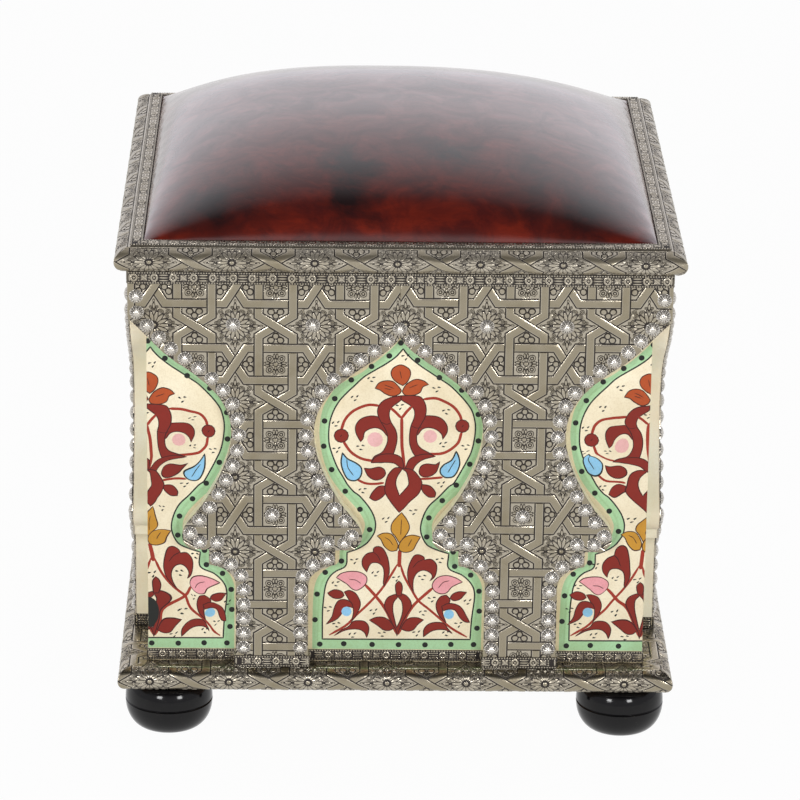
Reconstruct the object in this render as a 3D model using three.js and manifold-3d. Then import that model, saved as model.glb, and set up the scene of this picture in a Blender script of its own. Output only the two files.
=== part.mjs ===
// Moroccan kursi stool: a painted box on turned feet, dressed with arched fret boards in
// embossed metal set with domed studs, under a moulded seat board with a domed leather pad.
// Millimetres, +Z up, front towards -Y, origin on the floor at the middle of the footprint.

import * as THREE from "three";
import { ConvexGeometry } from "three/addons/geometries/ConvexGeometry.js";
import { mergeVertices } from "three/addons/utils/BufferGeometryUtils.js";
import Module from "manifold-3d";

const wasm = await Module();
wasm.setup();

// Clearances and sheet
const fitGap = 0.3;
const cutOverrun = 2;
const sheetThickness = 0.6;
const stripThickness = 1;

// Turned feet, each held by a dowel
const footHeight = 43.6;
const footRadius = 35.6;
const footBaseRadius = 20;
const footGrooveHeight = 23.5;
const footGrooveDepth = 0.9;
const footGrooveHalfWidth = 1;
const footShoulderRadius = 28;
const footCollarRadius = 24;
const footCollarHeight = 2.2;
const footInset = 40.4;
const dowelRadius = 6;
const dowelLength = 26;

// Plinth board and its moulding, which overhangs the cladding
const plinthOverhang = 10.6;
const plinthBoardThickness = 18.2;
const plinthNoseRun = 10;
const plinthReturn = 1;

// Painted box
const carcassWidth = 401;
const carcassHeight = 338.2;
const wallThickness = 12;
const postSize = 30;
const cleatWidth = 25;
const cleatHeight = 25;

// Fret boards: two pillars under a top band, cut to one arch and two half arches
const fretThickness = 12.7;
const stemWidth = 58.4;

// Turns in a pillar's edge, as shares of the pillar spacing from its middle and of the fret's height
const ledgeFootShares = [0.253, 0.264];
const ledgeHeadShares = [0.253, 0.3015];
const noseShares = [0.315, 0.3015];
const neckShares = [0.36, 0.338];
const flankShares = [0.2905, 0.4065];
const waistShares = [0.164, 0.5965];
const springShares = [0.39, 0.7795];
const stemHeightShare = 0.21;
const archHeightShare = 0.8405;
const cornerArchHeightShare = 0.882;

// Studs in the cladding
const studRadius = 5;
const studCrownRadius = 2.8;
const studRise = 3.3;
const studRoot = sheetThickness / 2;
const studInset = 6.4;
const studPitch = 13.2;
const studFootClearance = 6.7;
const studTopClearance = 11.7;
const apexStudRise = 7.2;
const rosetteStudShares = [0.157, 0.87];
const flowerStudHeightShare = 0.3915;

// Border strips
const topBorderHeight = 9;
const pillarBorderHeight = 9.5;
const panelBorderHeight = 9.3;

// Seat board, its moulding, which overhangs the cladding, and the border round the pad
const seatOverhang = 10.6;
const seatBoardThickness = 19.2;
const seatNoseRun = 22;
const seatUnderNoseRun = 10.5;
const seatFlat = 1;
const seatBorderWidth = 10;

// Leather pad
const padCrown = 63.5;
const leatherThickness = 1.6;

// Levels, from the floor up
const plinthBoardBottom = footHeight + fitGap;
const plinthBoardTop = plinthBoardBottom + plinthBoardThickness;
const wrap = fitGap + sheetThickness;
const plinthBottom = plinthBoardBottom - wrap;
const plinthTop = plinthBoardTop + wrap;
const carcassBottom = plinthBoardTop + fitGap;
const carcassTop = carcassBottom + carcassHeight;
const seatBoardBottom = carcassTop + fitGap;
const seatBoardTop = seatBoardBottom + seatBoardThickness;
const seatBottom = seatBoardBottom - wrap;
const seatTop = seatBoardTop + wrap;
const fretBottom = plinthTop + fitGap;
const fretHeight = seatBottom - fitGap - fretBottom;

// Distances from the middle of the stool to its upright faces
const carcassHalf = carcassWidth / 2;
const fretBack = carcassHalf + fitGap;
const fretFront = fretBack + fretThickness;
const claddingBack = fretFront + fitGap;
const claddingFront = claddingBack + sheetThickness;
const pillarSpacing = carcassWidth / 2;
const pillarCentre = pillarSpacing / 2;
const stemHalfWidth = stemWidth / 2;
const plinthHalf = claddingFront + plinthOverhang;
const seatHalf = claddingFront + seatOverhang;
const padHalf = seatHalf - seatNoseRun - seatFlat;
const footCentre = plinthHalf - footInset;

// Half the gap at a mitre, measured along the bar
const mitreRelief = fitGap * Math.SQRT1_2;

// Finishes
const nickelSilver = { color: 0xa39c90, roughness: 0.38, metalness: 0.9 };
const paintedWood = { color: 0xeee3c6, roughness: 0.6, metalness: 0 };
const creamEdge = { color: 0xe6d9b4, roughness: 0.65, metalness: 0 };
const bareWood = { color: 0xb98f60, roughness: 0.75, metalness: 0 };
const blackLacquer = { color: 0x0b0b0d, roughness: 0.18, metalness: 0 };
const darkLeather = { color: 0x4a120e, roughness: 0.35, metalness: 0 };
const wadding = { color: 0xe8e2d2, roughness: 0.95, metalness: 0 };

const sideNames = ["front", "right", "rear", "left"];
const model = new THREE.Group();

// Adds one named piece to a group, the model unless another is given
function addPiece(name, geometry, finish, parent = model) {
  const mesh = new THREE.Mesh(geometry, new THREE.MeshStandardMaterial(finish));
  mesh.name = name;
  parent.add(mesh);
  return mesh;
}

// Calls build(group, sideName) for each of the four sides, in a group turned to that side
function onEachSide(build) {
  sideNames.forEach((sideName, index) => {
    const group = new THREE.Group();
    group.rotation.z = (index * Math.PI) / 2;
    model.add(group);
    build(group, sideName);
  });
}

// Calls build(name, signX, signY) for each of the four corners
function onEachCorner(build) {
  for (const [endName, signY] of [["front", -1], ["rear", 1]]) {
    for (const [handName, signX] of [["left", -1], ["right", 1]]) {
      build(`${endName}_${handName}`, signX, signY);
    }
  }
}

function toSolid(geometry) {
  const bare = geometry.clone();
  bare.deleteAttribute("normal");
  bare.deleteAttribute("uv");
  const merged = mergeVertices(bare);
  const mesh = new wasm.Mesh({
    numProp: 3,
    vertProperties: new Float32Array(merged.attributes.position.array),
    triVerts: new Uint32Array(merged.index.array),
  });
  return new wasm.Manifold(mesh);
}

function toGeometry(solid) {
  const mesh = solid.getMesh();
  const geometry = new THREE.BufferGeometry();
  geometry.setAttribute("position", new THREE.BufferAttribute(new Float32Array(mesh.vertProperties), 3));
  geometry.setIndex(new THREE.BufferAttribute(new Uint32Array(mesh.triVerts), 1));
  return geometry;
}

function box(sizeX, sizeY, sizeZ, x, y, z) {
  return new THREE.BoxGeometry(sizeX, sizeY, sizeZ).translate(x, y, z + sizeZ / 2);
}

// A round bar standing on z
function dowel(radius, height, z) {
  const sideCount = 12;
  return new THREE.CylinderGeometry(radius, radius, height, sideCount)
    .rotateX(Math.PI / 2)
    .translate(0, 0, z + height / 2);
}

// An upright plate standing on z, drawn in X and height, with its back at a distance from the middle
function uprightPlate(outline, thickness, back, z) {
  return new THREE.ExtrudeGeometry(new THREE.Shape(outline), { depth: thickness, bevelEnabled: false })
    .rotateX(Math.PI / 2)
    .translate(0, -back, z);
}

// A bar along the front, mitred at both ends, from its section in distance from the middle and height
function mitredBar(section) {
  const bar = new THREE.ExtrudeGeometry(new THREE.Shape(section), { depth: 1, bevelEnabled: false });
  const position = bar.attributes.position;
  for (let i = 0; i < position.count; i += 1) {
    const distance = position.getX(i);
    const height = position.getY(i);
    const end = position.getZ(i) > 0 ? -1 : 1;
    position.setXYZ(i, end * (distance - mitreRelief), -distance, height);
  }
  return bar;
}

// A square ring or board: the profile is drawn in half width and height, turned in four flat sides
function squareTurning(profile) {
  const cornerCount = 4;
  const points = profile.map((point) => new THREE.Vector2(point.x * Math.SQRT2, point.y));
  return new THREE.LatheGeometry(points, cornerCount)
    .rotateX(Math.PI / 2)
    .rotateZ(Math.PI / cornerCount);
}

// Points of a moulded nose from its top to its underside, set in from the outer surface by depth.
// The upper part is a quarter ellipse as deep as topRun, the lower one as deep as underRun.
function nosePoints(half, bottom, top, topRun, underRun, depth, stepCount = 6) {
  const middle = (bottom + top) / 2;
  const rise = (top - bottom) / 2 - depth;
  const points = [];
  for (let i = 0; i <= 2 * stepCount; i += 1) {
    const angle = (Math.PI / 2) * (1 - i / stepCount);
    const run = angle > 0 ? topRun : underRun;
    const distance = half - run + (run - depth) * Math.cos(angle);
    points.push(new THREE.Vector2(distance, middle + rise * Math.sin(angle)));
  }
  return points;
}

// The sheet that wraps a nose, with flat margins running in to topInner and underInner
function noseWrap(nose, bottom, top, topInner, underInner) {
  const outer = nose(0);
  const inner = nose(sheetThickness).reverse();
  return [
    new THREE.Vector2(topInner, top),
    ...outer,
    new THREE.Vector2(underInner, bottom),
    new THREE.Vector2(underInner, bottom + sheetThickness),
    ...inner,
    new THREE.Vector2(topInner, top - sheetThickness),
  ];
}

// The moulded board inside the wrap
function noseBoard(nose, bottom, top) {
  const edge = nose(wrap).reverse();
  return squareTurning([new THREE.Vector2(0, bottom), ...edge, new THREE.Vector2(0, top)]);
}

const plinthNose = (depth) =>
  nosePoints(plinthHalf, plinthBottom, plinthTop, plinthNoseRun, plinthNoseRun, depth);
const seatNose = (depth) =>
  nosePoints(seatHalf, seatBottom, seatTop, seatNoseRun, seatUnderNoseRun, depth);

// Feet and their dowels
function footProfile() {
  const boreDepth = dowelLength / 2 + fitGap;
  const boreRadius = dowelRadius + fitGap;
  const shoulder = footHeight - footCollarHeight;
  const grooveBottom = footGrooveHeight - footGrooveHalfWidth;
  const grooveTop = footGrooveHeight + footGrooveHalfWidth;
  const stepCount = 3;
  const profile = [new THREE.Vector2(0, 0)];
  for (let i = 0; i <= stepCount; i += 1) {
    const angle = ((i / stepCount) * Math.PI) / 2;
    const radius = footBaseRadius + (footRadius - footBaseRadius) * Math.sin(angle);
    profile.push(new THREE.Vector2(radius, grooveBottom * (1 - Math.cos(angle))));
  }
  profile.push(new THREE.Vector2(footRadius - footGrooveDepth, footGrooveHeight));
  for (let i = 0; i <= stepCount; i += 1) {
    const angle = ((i / stepCount) * Math.PI) / 2;
    const radius = footShoulderRadius + (footRadius - footShoulderRadius) * Math.cos(angle);
    profile.push(new THREE.Vector2(radius, grooveTop + (shoulder - grooveTop) * Math.sin(angle)));
  }
  profile.push(new THREE.Vector2(footCollarRadius, shoulder));
  profile.push(new THREE.Vector2(footCollarRadius, footHeight));
  profile.push(new THREE.Vector2(boreRadius, footHeight));
  profile.push(new THREE.Vector2(boreRadius, footHeight - boreDepth));
  profile.push(new THREE.Vector2(0, footHeight - boreDepth));
  return profile;
}

function makeFeet() {
  const segmentCount = 18;
  const joint = footHeight + fitGap / 2;
  onEachCorner((corner, signX, signY) => {
    const foot = new THREE.LatheGeometry(footProfile(), segmentCount).rotateX(Math.PI / 2);
    const pin = dowel(dowelRadius, dowelLength, joint - dowelLength / 2);
    const place = new THREE.Vector3(signX * footCentre, signY * footCentre, 0);
    addPiece(`foot_${corner}`, foot, blackLacquer).position.copy(place);
    addPiece(`foot_dowel_${corner}`, pin, bareWood).position.copy(place);
  });
}

// Plinth board, bored for the dowels, and its four mouldings
function makePlinth() {
  let board = toSolid(noseBoard(plinthNose, plinthBoardBottom, plinthBoardTop));
  const boreBottom = plinthBoardBottom - cutOverrun;
  const boreTop = plinthBoardBottom + dowelLength / 2 + fitGap;
  onEachCorner((corner, signX, signY) => {
    const bore = dowel(dowelRadius + fitGap, boreTop - boreBottom, boreBottom);
    board = board.subtract(toSolid(bore.translate(signX * footCentre, signY * footCentre, 0)));
  });
  addPiece("plinth_board", toGeometry(board), bareWood);
  const underInner = plinthHalf - plinthNoseRun - plinthReturn;
  const section = noseWrap(plinthNose, plinthBottom, plinthTop, fretBack, underInner);
  onEachSide((group, sideName) => {
    addPiece(`plinth_moulding_${sideName}`, mitredBar(section), nickelSilver, group);
  });
}

// Painted walls, the posts in their corners and the cleats under the seat
function makeCarcass() {
  const wallCentre = carcassHalf - wallThickness / 2;
  const sideLength = carcassWidth - 2 * (wallThickness + fitGap);
  const postCentre = carcassHalf - wallThickness - fitGap - postSize / 2;
  const cleatCentre = carcassHalf - wallThickness - fitGap - cleatWidth / 2;
  const cleatLength = 2 * (postCentre - postSize / 2 - fitGap);
  for (const [endName, sign] of [["front", -1], ["rear", 1]]) {
    const wall = box(carcassWidth, wallThickness, carcassHeight, 0, sign * wallCentre, carcassBottom);
    addPiece(`carcass_wall_${endName}`, wall, paintedWood);
  }
  for (const [handName, sign] of [["left", -1], ["right", 1]]) {
    const wall = box(wallThickness, sideLength, carcassHeight, sign * wallCentre, 0, carcassBottom);
    const cleatBottom = carcassTop - cleatHeight;
    const cleat = box(cleatWidth, cleatLength, cleatHeight, sign * cleatCentre, 0, cleatBottom);
    addPiece(`carcass_wall_${handName}`, wall, paintedWood);
    addPiece(`seat_cleat_${handName}`, cleat, bareWood);
  }
  onEachCorner((corner, signX, signY) => {
    const post = box(postSize, postSize, carcassHeight, 0, 0, carcassBottom)
      .translate(signX * postCentre, signY * postCentre, 0);
    addPiece(`corner_post_${corner}`, post, bareWood);
  });
}

// Where each curve's two control points lie, as shares of the way between its ends, across and up
const shoulderCurveShares = [[0, 0.62], [0.55, 0.88]];
const noseCurveShares = [[0.55, 0.15], [1, 0.46]];
const neckCurveShares = [[0, 0.3], [0.36, 0.52]];
const flankCurveShares = [[0.47, 0.27], [1, 0.67]];
const bulbCurveShares = [[0, 0.49], [0.47, 0.73]];
const ogeeCurveShares = [[0.35, 0.26], [0.78, 0.62]];
const cornerOgeeCurveShares = [[0.35, 0.26], [0.66, 0.7]];

function curveTo(points, end, curveShares, stepCount) {
  const start = points[points.length - 1];
  const [first, second] = curveShares.map(([across, up]) =>
    new THREE.Vector2(start.x + (end.x - start.x) * across, start.y + (end.y - start.y) * up));
  const curve = new THREE.CubicBezierCurve(start, first, second, end);
  points.push(...curve.getPoints(stepCount).slice(1));
}

// One edge of a pillar from its foot to the tip of the arch, as distance from its middle and height
function pillarEdge(tip, tipCurveShares, stepCount) {
  const turn = ([across, up]) => new THREE.Vector2(pillarSpacing * across, fretHeight * up);
  const points = [
    new THREE.Vector2(stemHalfWidth, 0),
    new THREE.Vector2(stemHalfWidth, fretHeight * stemHeightShare),
  ];
  curveTo(points, turn(ledgeFootShares), shoulderCurveShares, 3 * stepCount);
  points.push(turn(ledgeHeadShares));
  points.push(turn(noseShares));
  curveTo(points, turn(neckShares), noseCurveShares, 3 * stepCount);
  curveTo(points, turn(flankShares), neckCurveShares, 2 * stepCount);
  curveTo(points, turn(waistShares), flankCurveShares, 3 * stepCount);
  curveTo(points, turn(springShares), bulbCurveShares, 6 * stepCount);
  curveTo(points, tip, tipCurveShares, 3 * stepCount);
  return points;
}

const archTip = new THREE.Vector2(pillarCentre, fretHeight * archHeightShare);
const cornerTip = new THREE.Vector2(claddingFront - pillarCentre, fretHeight * cornerArchHeightShare);
const archEdge = (stepCount) => pillarEdge(archTip, ogeeCurveShares, stepCount);
const cornerEdge = (stepCount) => pillarEdge(cornerTip, cornerOgeeCurveShares, stepCount);

// How many times finer than the cut edge the line of the studs is stepped
const studStepCount = 4;

// The whole fret in X and height above its foot, out to the corners of the stool
function fretOutline() {
  const place = (points, sign, outward) =>
    points.map((point) => new THREE.Vector2(sign * (pillarCentre + outward * point.x), point.y));
  const inner = archEdge(1);
  const outer = cornerEdge(1);
  const rightInner = place(inner, 1, -1).slice(0, -1);
  const leftInner = place(inner, -1, -1).reverse();
  return [
    ...place(outer, -1, 1),
    new THREE.Vector2(-claddingFront, fretHeight),
    new THREE.Vector2(claddingFront, fretHeight),
    ...place(outer, 1, 1).reverse(),
    ...rightInner,
    ...leftInner,
  ];
}

// The space that one side may fill between the two mitres of the stool's corners
function mitreWedge() {
  const reach = claddingFront + cutOverrun;
  const plan = [
    new THREE.Vector2(0, -mitreRelief),
    new THREE.Vector2(-reach + mitreRelief, -reach),
    new THREE.Vector2(reach - mitreRelief, -reach),
  ];
  const height = fretHeight + 2 * cutOverrun;
  return new THREE.ExtrudeGeometry(new THREE.Shape(plan), { depth: height, bevelEnabled: false })
    .translate(0, 0, fretBottom - cutOverrun);
}

// A line of points moved sideways into the metal by inset, keeping its corners sharp
function insetLine(points, inset) {
  const normals = points.slice(1).map((point, i) => {
    const along = point.clone().sub(points[i]).normalize();
    return new THREE.Vector2(-along.y, along.x);
  });
  return points.map((point, i) => {
    const before = normals[Math.max(i - 1, 0)];
    const after = normals[Math.min(i, normals.length - 1)];
    const sum = before.clone().add(after);
    return point.clone().add(sum.multiplyScalar(inset / (1 + before.dot(after))));
  });
}

// Even places about a pitch apart along a line, with its start but not its end
function evenPlaces(points, pitch) {
  const path = new THREE.CurvePath();
  points.slice(1).forEach((point, i) => path.add(new THREE.LineCurve(points[i], point)));
  const count = Math.max(1, Math.round(path.getLength() / pitch));
  return Array.from({ length: count }, (_, i) => path.getPointAt(i / count));
}

// Stud places along one edge of a pillar: up the stem, across the ledge, then round the nose to the tip
function edgeStuds(edge, ends) {
  const line = insetLine(edge, studInset).slice(0, -studStepCount);
  const ledge = 1 + 3 * studStepCount;
  const footStud = new THREE.Vector2(line[0].x, pillarBorderHeight + studFootClearance);
  const stem = [footStud, ...line.slice(1, ledge + 1)].filter((point) => point.x <= line[ledge].x);
  const across = line.slice(ledge, ledge + 2);
  const above = [...line.slice(ledge + 1), ...ends];
  return [stem, across, above].flatMap((run) => evenPlaces(run, studPitch));
}

// Stud places round one pillar, as distance from its middle and height; the arch side is negative
function pillarStuds() {
  const cornerLine = cornerTip.x - studInset;
  const topStud = new THREE.Vector2(cornerLine, fretHeight - topBorderHeight - studTopClearance);
  const apexStud = new THREE.Vector2(archTip.x, archTip.y + apexStudRise);
  const turnStud = new THREE.Vector2(cornerLine, cornerTip.y + studInset);
  const [rosetteAcross, rosetteUp] = rosetteStudShares;
  const rosetteStud = new THREE.Vector2(pillarSpacing * rosetteAcross, fretHeight * rosetteUp);
  const archStuds = edgeStuds(archEdge(studStepCount), [apexStud]);
  return [
    ...archStuds.map((place) => new THREE.Vector2(-place.x, place.y)),
    ...edgeStuds(cornerEdge(studStepCount), [turnStud, topStud]),
    topStud,
    new THREE.Vector2(-rosetteStud.x, rosetteStud.y),
    rosetteStud,
    new THREE.Vector2(0, fretHeight * flowerStudHeightShare),
  ];
}

// A low six-sided dome rooted in the sheet and facing the front
function stud() {
  const sideCount = 6;
  const points = [];
  for (let i = 0; i < sideCount; i += 1) {
    const angle = (i / sideCount) * 2 * Math.PI;
    for (const [radius, rise] of [[studRadius, -studRoot], [studCrownRadius, studRise]]) {
      points.push(new THREE.Vector3(radius * Math.cos(angle), -rise, radius * Math.sin(angle)));
    }
  }
  return new ConvexGeometry(points);
}

// The embossed sheet on a fret board with its studs
function cladding(wedge) {
  const plate = uprightPlate(fretOutline(), sheetThickness, claddingBack, fretBottom);
  let sheet = toSolid(plate).intersect(wedge);
  const places = [new THREE.Vector2(0, archTip.y + apexStudRise)];
  for (const place of pillarStuds()) {
    places.push(new THREE.Vector2(pillarCentre + place.x, place.y));
    places.push(new THREE.Vector2(-pillarCentre - place.x, place.y));
  }
  for (const place of places) {
    sheet = sheet.add(toSolid(stud().translate(place.x, -claddingFront, fretBottom + place.y)));
  }
  return toGeometry(sheet);
}

// Fret boards with their cladding and the border strip along the top
function makeFretwork() {
  const wedge = toSolid(mitreWedge());
  const board = toSolid(uprightPlate(fretOutline(), fretThickness, fretBack, fretBottom));
  const boardGeometry = toGeometry(board.intersect(wedge));
  const claddingGeometry = cladding(wedge);
  const stripBack = claddingFront + fitGap;
  const stripFront = stripBack + stripThickness;
  const stripTop = fretBottom + fretHeight;
  const stripBottom = stripTop - topBorderHeight;
  const topSection = [
    new THREE.Vector2(stripBack, stripBottom),
    new THREE.Vector2(stripFront, stripBottom),
    new THREE.Vector2(stripFront, stripTop),
    new THREE.Vector2(stripBack, stripTop),
  ];
  onEachSide((group, sideName) => {
    addPiece(`fret_board_${sideName}`, boardGeometry, creamEdge, group);
    addPiece(`fret_cladding_${sideName}`, claddingGeometry, nickelSilver, group);
    addPiece(`top_border_${sideName}`, mitredBar(topSection), nickelSilver, group);
  });
}

// Border strips along the foot of each pillar and of each painted panel
function makeFootBorders() {
  const pillarFront = claddingFront + fitGap + stripThickness / 2;
  const panelFront = carcassHalf + fitGap + stripThickness / 2;
  const panelWidth = 2 * (pillarCentre - stemHalfWidth - fitGap);
  const cornerStart = pillarCentre + stemHalfWidth + fitGap;
  const cornerBack = carcassHalf + fitGap;
  const cornerFront = cornerBack + stripThickness;
  const cornerPlan = [
    new THREE.Vector2(cornerStart, -cornerBack),
    new THREE.Vector2(cornerStart, -cornerFront),
    new THREE.Vector2(cornerFront, -cornerFront),
    new THREE.Vector2(cornerFront, -cornerStart),
    new THREE.Vector2(cornerBack, -cornerStart),
    new THREE.Vector2(cornerBack, -cornerBack),
  ];
  onEachSide((group, sideName) => {
    for (const [handName, sign] of [["left", -1], ["right", 1]]) {
      const strip = box(2 * stemHalfWidth, stripThickness, pillarBorderHeight,
        sign * pillarCentre, -pillarFront, fretBottom);
      addPiece(`pillar_foot_border_${sideName}_${handName}`, strip, nickelSilver, group);
    }
    const panelStrip = box(panelWidth, stripThickness, panelBorderHeight, 0, -panelFront, fretBottom);
    const cornerStrip = new THREE.ExtrudeGeometry(new THREE.Shape(cornerPlan), {
      depth: panelBorderHeight,
      bevelEnabled: false,
    }).translate(0, 0, fretBottom);
    addPiece(`panel_foot_border_${sideName}`, panelStrip, nickelSilver, group);
    addPiece(`corner_foot_border_${sideName}`, cornerStrip, nickelSilver, group);
  });
}

// Seat board, its four mouldings and the border strip round the pad
function makeSeat() {
  addPiece("seat_board", noseBoard(seatNose, seatBoardBottom, seatBoardTop), bareWood);
  const section = noseWrap(seatNose, seatBottom, seatTop, padHalf + fitGap, fretBack);
  onEachSide((group, sideName) => {
    addPiece(`seat_moulding_${sideName}`, mitredBar(section), nickelSilver, group);
  });
  const stripEnd = padHalf + fitGap + seatBorderWidth;
  const onNose = (point) => point.x < stripEnd && point.y > (seatBottom + seatTop) / 2;
  const under = seatNose(-fitGap).filter(onNose);
  const over = seatNose(-fitGap - stripThickness).filter(onNose).reverse();
  const start = padHalf + fitGap;
  const profile = [
    new THREE.Vector2(start, under[0].y),
    ...under,
    ...over,
    new THREE.Vector2(start, over[over.length - 1].y),
    new THREE.Vector2(start, under[0].y),
  ];
  addPiece("seat_border", squareTurning(profile), nickelSilver);
}

// How full the pad is towards its edges, and how soon it falls away
const padFullnessPower = 2.5;
const padFallPower = 0.6;

// A low dome on a square foot at z, with a small upright rim and an underside set down by drop
function dome(half, crown, rim, z, drop, cellCount) {
  const block = new THREE.BoxGeometry(1, 1, 1, cellCount, cellCount, 1);
  const position = block.attributes.position;
  const fall = (share) => {
    const fullness = 1 - Math.pow(Math.abs(share), padFullnessPower);
    return Math.pow(Math.max(0, fullness), padFallPower);
  };
  for (let i = 0; i < position.count; i += 1) {
    const across = Math.sin(position.getX(i) * Math.PI);
    const along = Math.sin(position.getY(i) * Math.PI);
    const height = position.getZ(i) > 0 ? rim + crown * fall(across) * fall(along) : -drop;
    position.setXYZ(i, half * across, half * along, z + height);
  }
  return block;
}

// Wadding under a leather cover that is open below
function makePad() {
  const foot = seatBoardTop + fitGap;
  const rim = seatTop - foot;
  const coverInner = padHalf - leatherThickness;
  const cellCount = 12;
  const outer = toSolid(dome(padHalf, padCrown, rim, foot, 0, cellCount));
  const hollow = toSolid(dome(coverInner, padCrown - leatherThickness, rim, foot, cutOverrun, cellCount));
  const paddingCrown = padCrown - leatherThickness - fitGap;
  addPiece("leather_cover", toGeometry(outer.subtract(hollow)), darkLeather);
  addPiece("seat_padding", dome(coverInner - fitGap, paddingCrown, rim, foot, 0, cellCount), wadding);
}

makeFeet();
makePlinth();
makeCarcass();
makeFretwork();
makeFootBorders();
makeSeat();
makePad();

export default model;
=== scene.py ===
"""A Moroccan kursi stool: a painted box behind metal-clad fretwork, under a domed leather pad.

Drawings are in millimetres: x across a side and z up, or run and girth on a moulding.
Meshes are made in metres, in the frame of the solid model.
"""

import logging
import math
from collections.abc import Callable, Iterable
from dataclasses import dataclass, replace
from enum import Enum

import bpy
import numpy as np
from mathutils import Matrix, Vector
from mathutils.geometry import delaunay_2d_cdt


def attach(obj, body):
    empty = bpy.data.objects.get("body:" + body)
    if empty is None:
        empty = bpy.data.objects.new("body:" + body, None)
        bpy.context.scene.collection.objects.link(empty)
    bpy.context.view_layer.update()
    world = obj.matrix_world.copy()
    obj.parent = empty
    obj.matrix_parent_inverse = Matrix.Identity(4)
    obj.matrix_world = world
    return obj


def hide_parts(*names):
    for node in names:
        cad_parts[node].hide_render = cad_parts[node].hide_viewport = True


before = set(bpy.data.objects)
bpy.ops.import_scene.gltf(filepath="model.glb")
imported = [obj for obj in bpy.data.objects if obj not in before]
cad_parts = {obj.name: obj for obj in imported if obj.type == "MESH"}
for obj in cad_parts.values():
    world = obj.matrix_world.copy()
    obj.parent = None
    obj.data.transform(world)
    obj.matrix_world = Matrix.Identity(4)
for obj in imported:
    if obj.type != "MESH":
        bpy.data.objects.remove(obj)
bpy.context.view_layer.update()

log = logging.getLogger("kursi")

MM = 0.001
TINY = 1e-9
SLACK = 1e-3
SIDES = ("front", "right", "rear", "left")
HANDS = (("left", -1), ("right", 1))
ENDS = (-1, 1)

Pair = tuple[float, float]
Faces = list[tuple[int, ...]]


def srgb(red: int, green: int, blue: int) -> tuple[float, float, float, float]:
    """A screen colour as the linear colour that a shader takes.

    Args:
        red: The red channel, from 0 to 255.
        green: The green channel.
        blue: The blue channel.

    Returns:
        The three channels in linear light and a full alpha.
    """
    shares = [value / 255 for value in (red, green, blue)]
    linear = [share / 12.92 if share <= 0.04045 else ((share + 0.055) / 1.055) ** 2.4 for share in shares]
    return (*linear, 1.0)


def pairs(text: str) -> np.ndarray:
    """Points written as "x,z x,z ..."."""
    return np.array([[float(value) for value in pair.split(",")] for pair in text.split()])


class Slot(Enum):
    """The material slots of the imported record."""

    BLACK_LACQUER = "black_lacquer"
    BARE_WOOD = "bare_wood"
    PAINTED_WOOD = "painted_wood"
    CREAM_EDGE = "cream_edge"
    NICKEL_SILVER = "nickel_silver"
    DARK_LEATHER = "dark_leather"


# Drawing in the plane


def turned(points: np.ndarray, degrees: float) -> np.ndarray:
    """Points turned about the origin."""
    angle = math.radians(degrees)
    cos, sin = math.cos(angle), math.sin(angle)
    return np.asarray(points) @ np.array([[cos, sin], [-sin, cos]])


def bezier(start: np.ndarray, end: np.ndarray, shares: tuple[Pair, Pair], count: int) -> np.ndarray:
    """A curve between two points.

    Args:
        start: Its start.
        end: Its end.
        shares: Where its two control points lie, in shares of the way from start to end.
        count: How many points it gets.

    Returns:
        Its points without the start.
    """
    span = end - start
    first, second = (start + span * np.array(share) for share in shares)
    t = np.linspace(0, 1, count + 1)[1:, None]
    return (
        (1 - t) ** 3 * start
        + 3 * (1 - t) ** 2 * t * first
        + 3 * (1 - t) * t ** 2 * second
        + t ** 3 * end
    )


def smooth(points: np.ndarray, closed: bool, step: float = 1.6, corner: float = 62.0) -> np.ndarray:
    """A hand's curve through points, which keeps its sharp corners.

    Args:
        points: The points that the curve passes.
        closed: Whether the curve comes back to its start.
        step: The longest straight piece.
        corner: The turn in degrees from which a point stays sharp.

    Returns:
        The points of the curve, without the start again at the end of a closed one.
    """
    count = len(points)
    before = np.roll(points, 1, axis=0)
    after = np.roll(points, -1, axis=0)
    incoming = points - before
    outgoing = after - points
    cross = incoming[:, 0] * outgoing[:, 1] - incoming[:, 1] * outgoing[:, 0]
    turn = np.degrees(np.abs(np.arctan2(cross, (incoming * outgoing).sum(axis=1))))
    sharp = turn > corner
    if not closed:
        sharp[0] = sharp[-1] = True
    tangent = (after - before) / 2
    pieces = []
    for i in range(count if closed else count - 1):
        j = (i + 1) % count
        start, end = points[i], points[j]
        length = float(np.linalg.norm(end - start))
        leave = (end - start) if sharp[i] else tangent[i] * min(1.0, length / np.linalg.norm(tangent[i]))
        arrive = (end - start) if sharp[j] else tangent[j] * min(1.0, length / np.linalg.norm(tangent[j]))
        steps = max(1, math.ceil(length / step))
        t = (np.arange(steps) / steps)[:, None]
        pieces.append(
            (2 * t ** 3 - 3 * t ** 2 + 1) * start
            + (t ** 3 - 2 * t ** 2 + t) * leave
            + (3 * t ** 2 - 2 * t ** 3) * end
            + (t ** 3 - t ** 2) * arrive
        )
    if not closed:
        pieces.append(points[-1:])
    return np.vstack(pieces)


def normals_of(points: np.ndarray, closed: bool) -> np.ndarray:
    """The unit normals to the left of a line.

    Args:
        points: Its points.
        closed: Whether it comes back to its start.

    Returns:
        The normal at each point.
    """
    along = np.roll(points, -1, axis=0) - np.roll(points, 1, axis=0)
    if not closed:
        along[0] = points[1] - points[0]
        along[-1] = points[-1] - points[-2]
    along /= np.linalg.norm(along, axis=1)[:, None] + TINY
    return np.column_stack([-along[:, 1], along[:, 0]])


def signed_area(points: np.ndarray) -> float:
    """The area of a closed line, above zero where it runs anticlockwise."""
    x, z = points[:, 0], points[:, 1]
    return 0.5 * float(np.sum(x * np.roll(z, -1) - np.roll(x, -1) * z))


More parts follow.
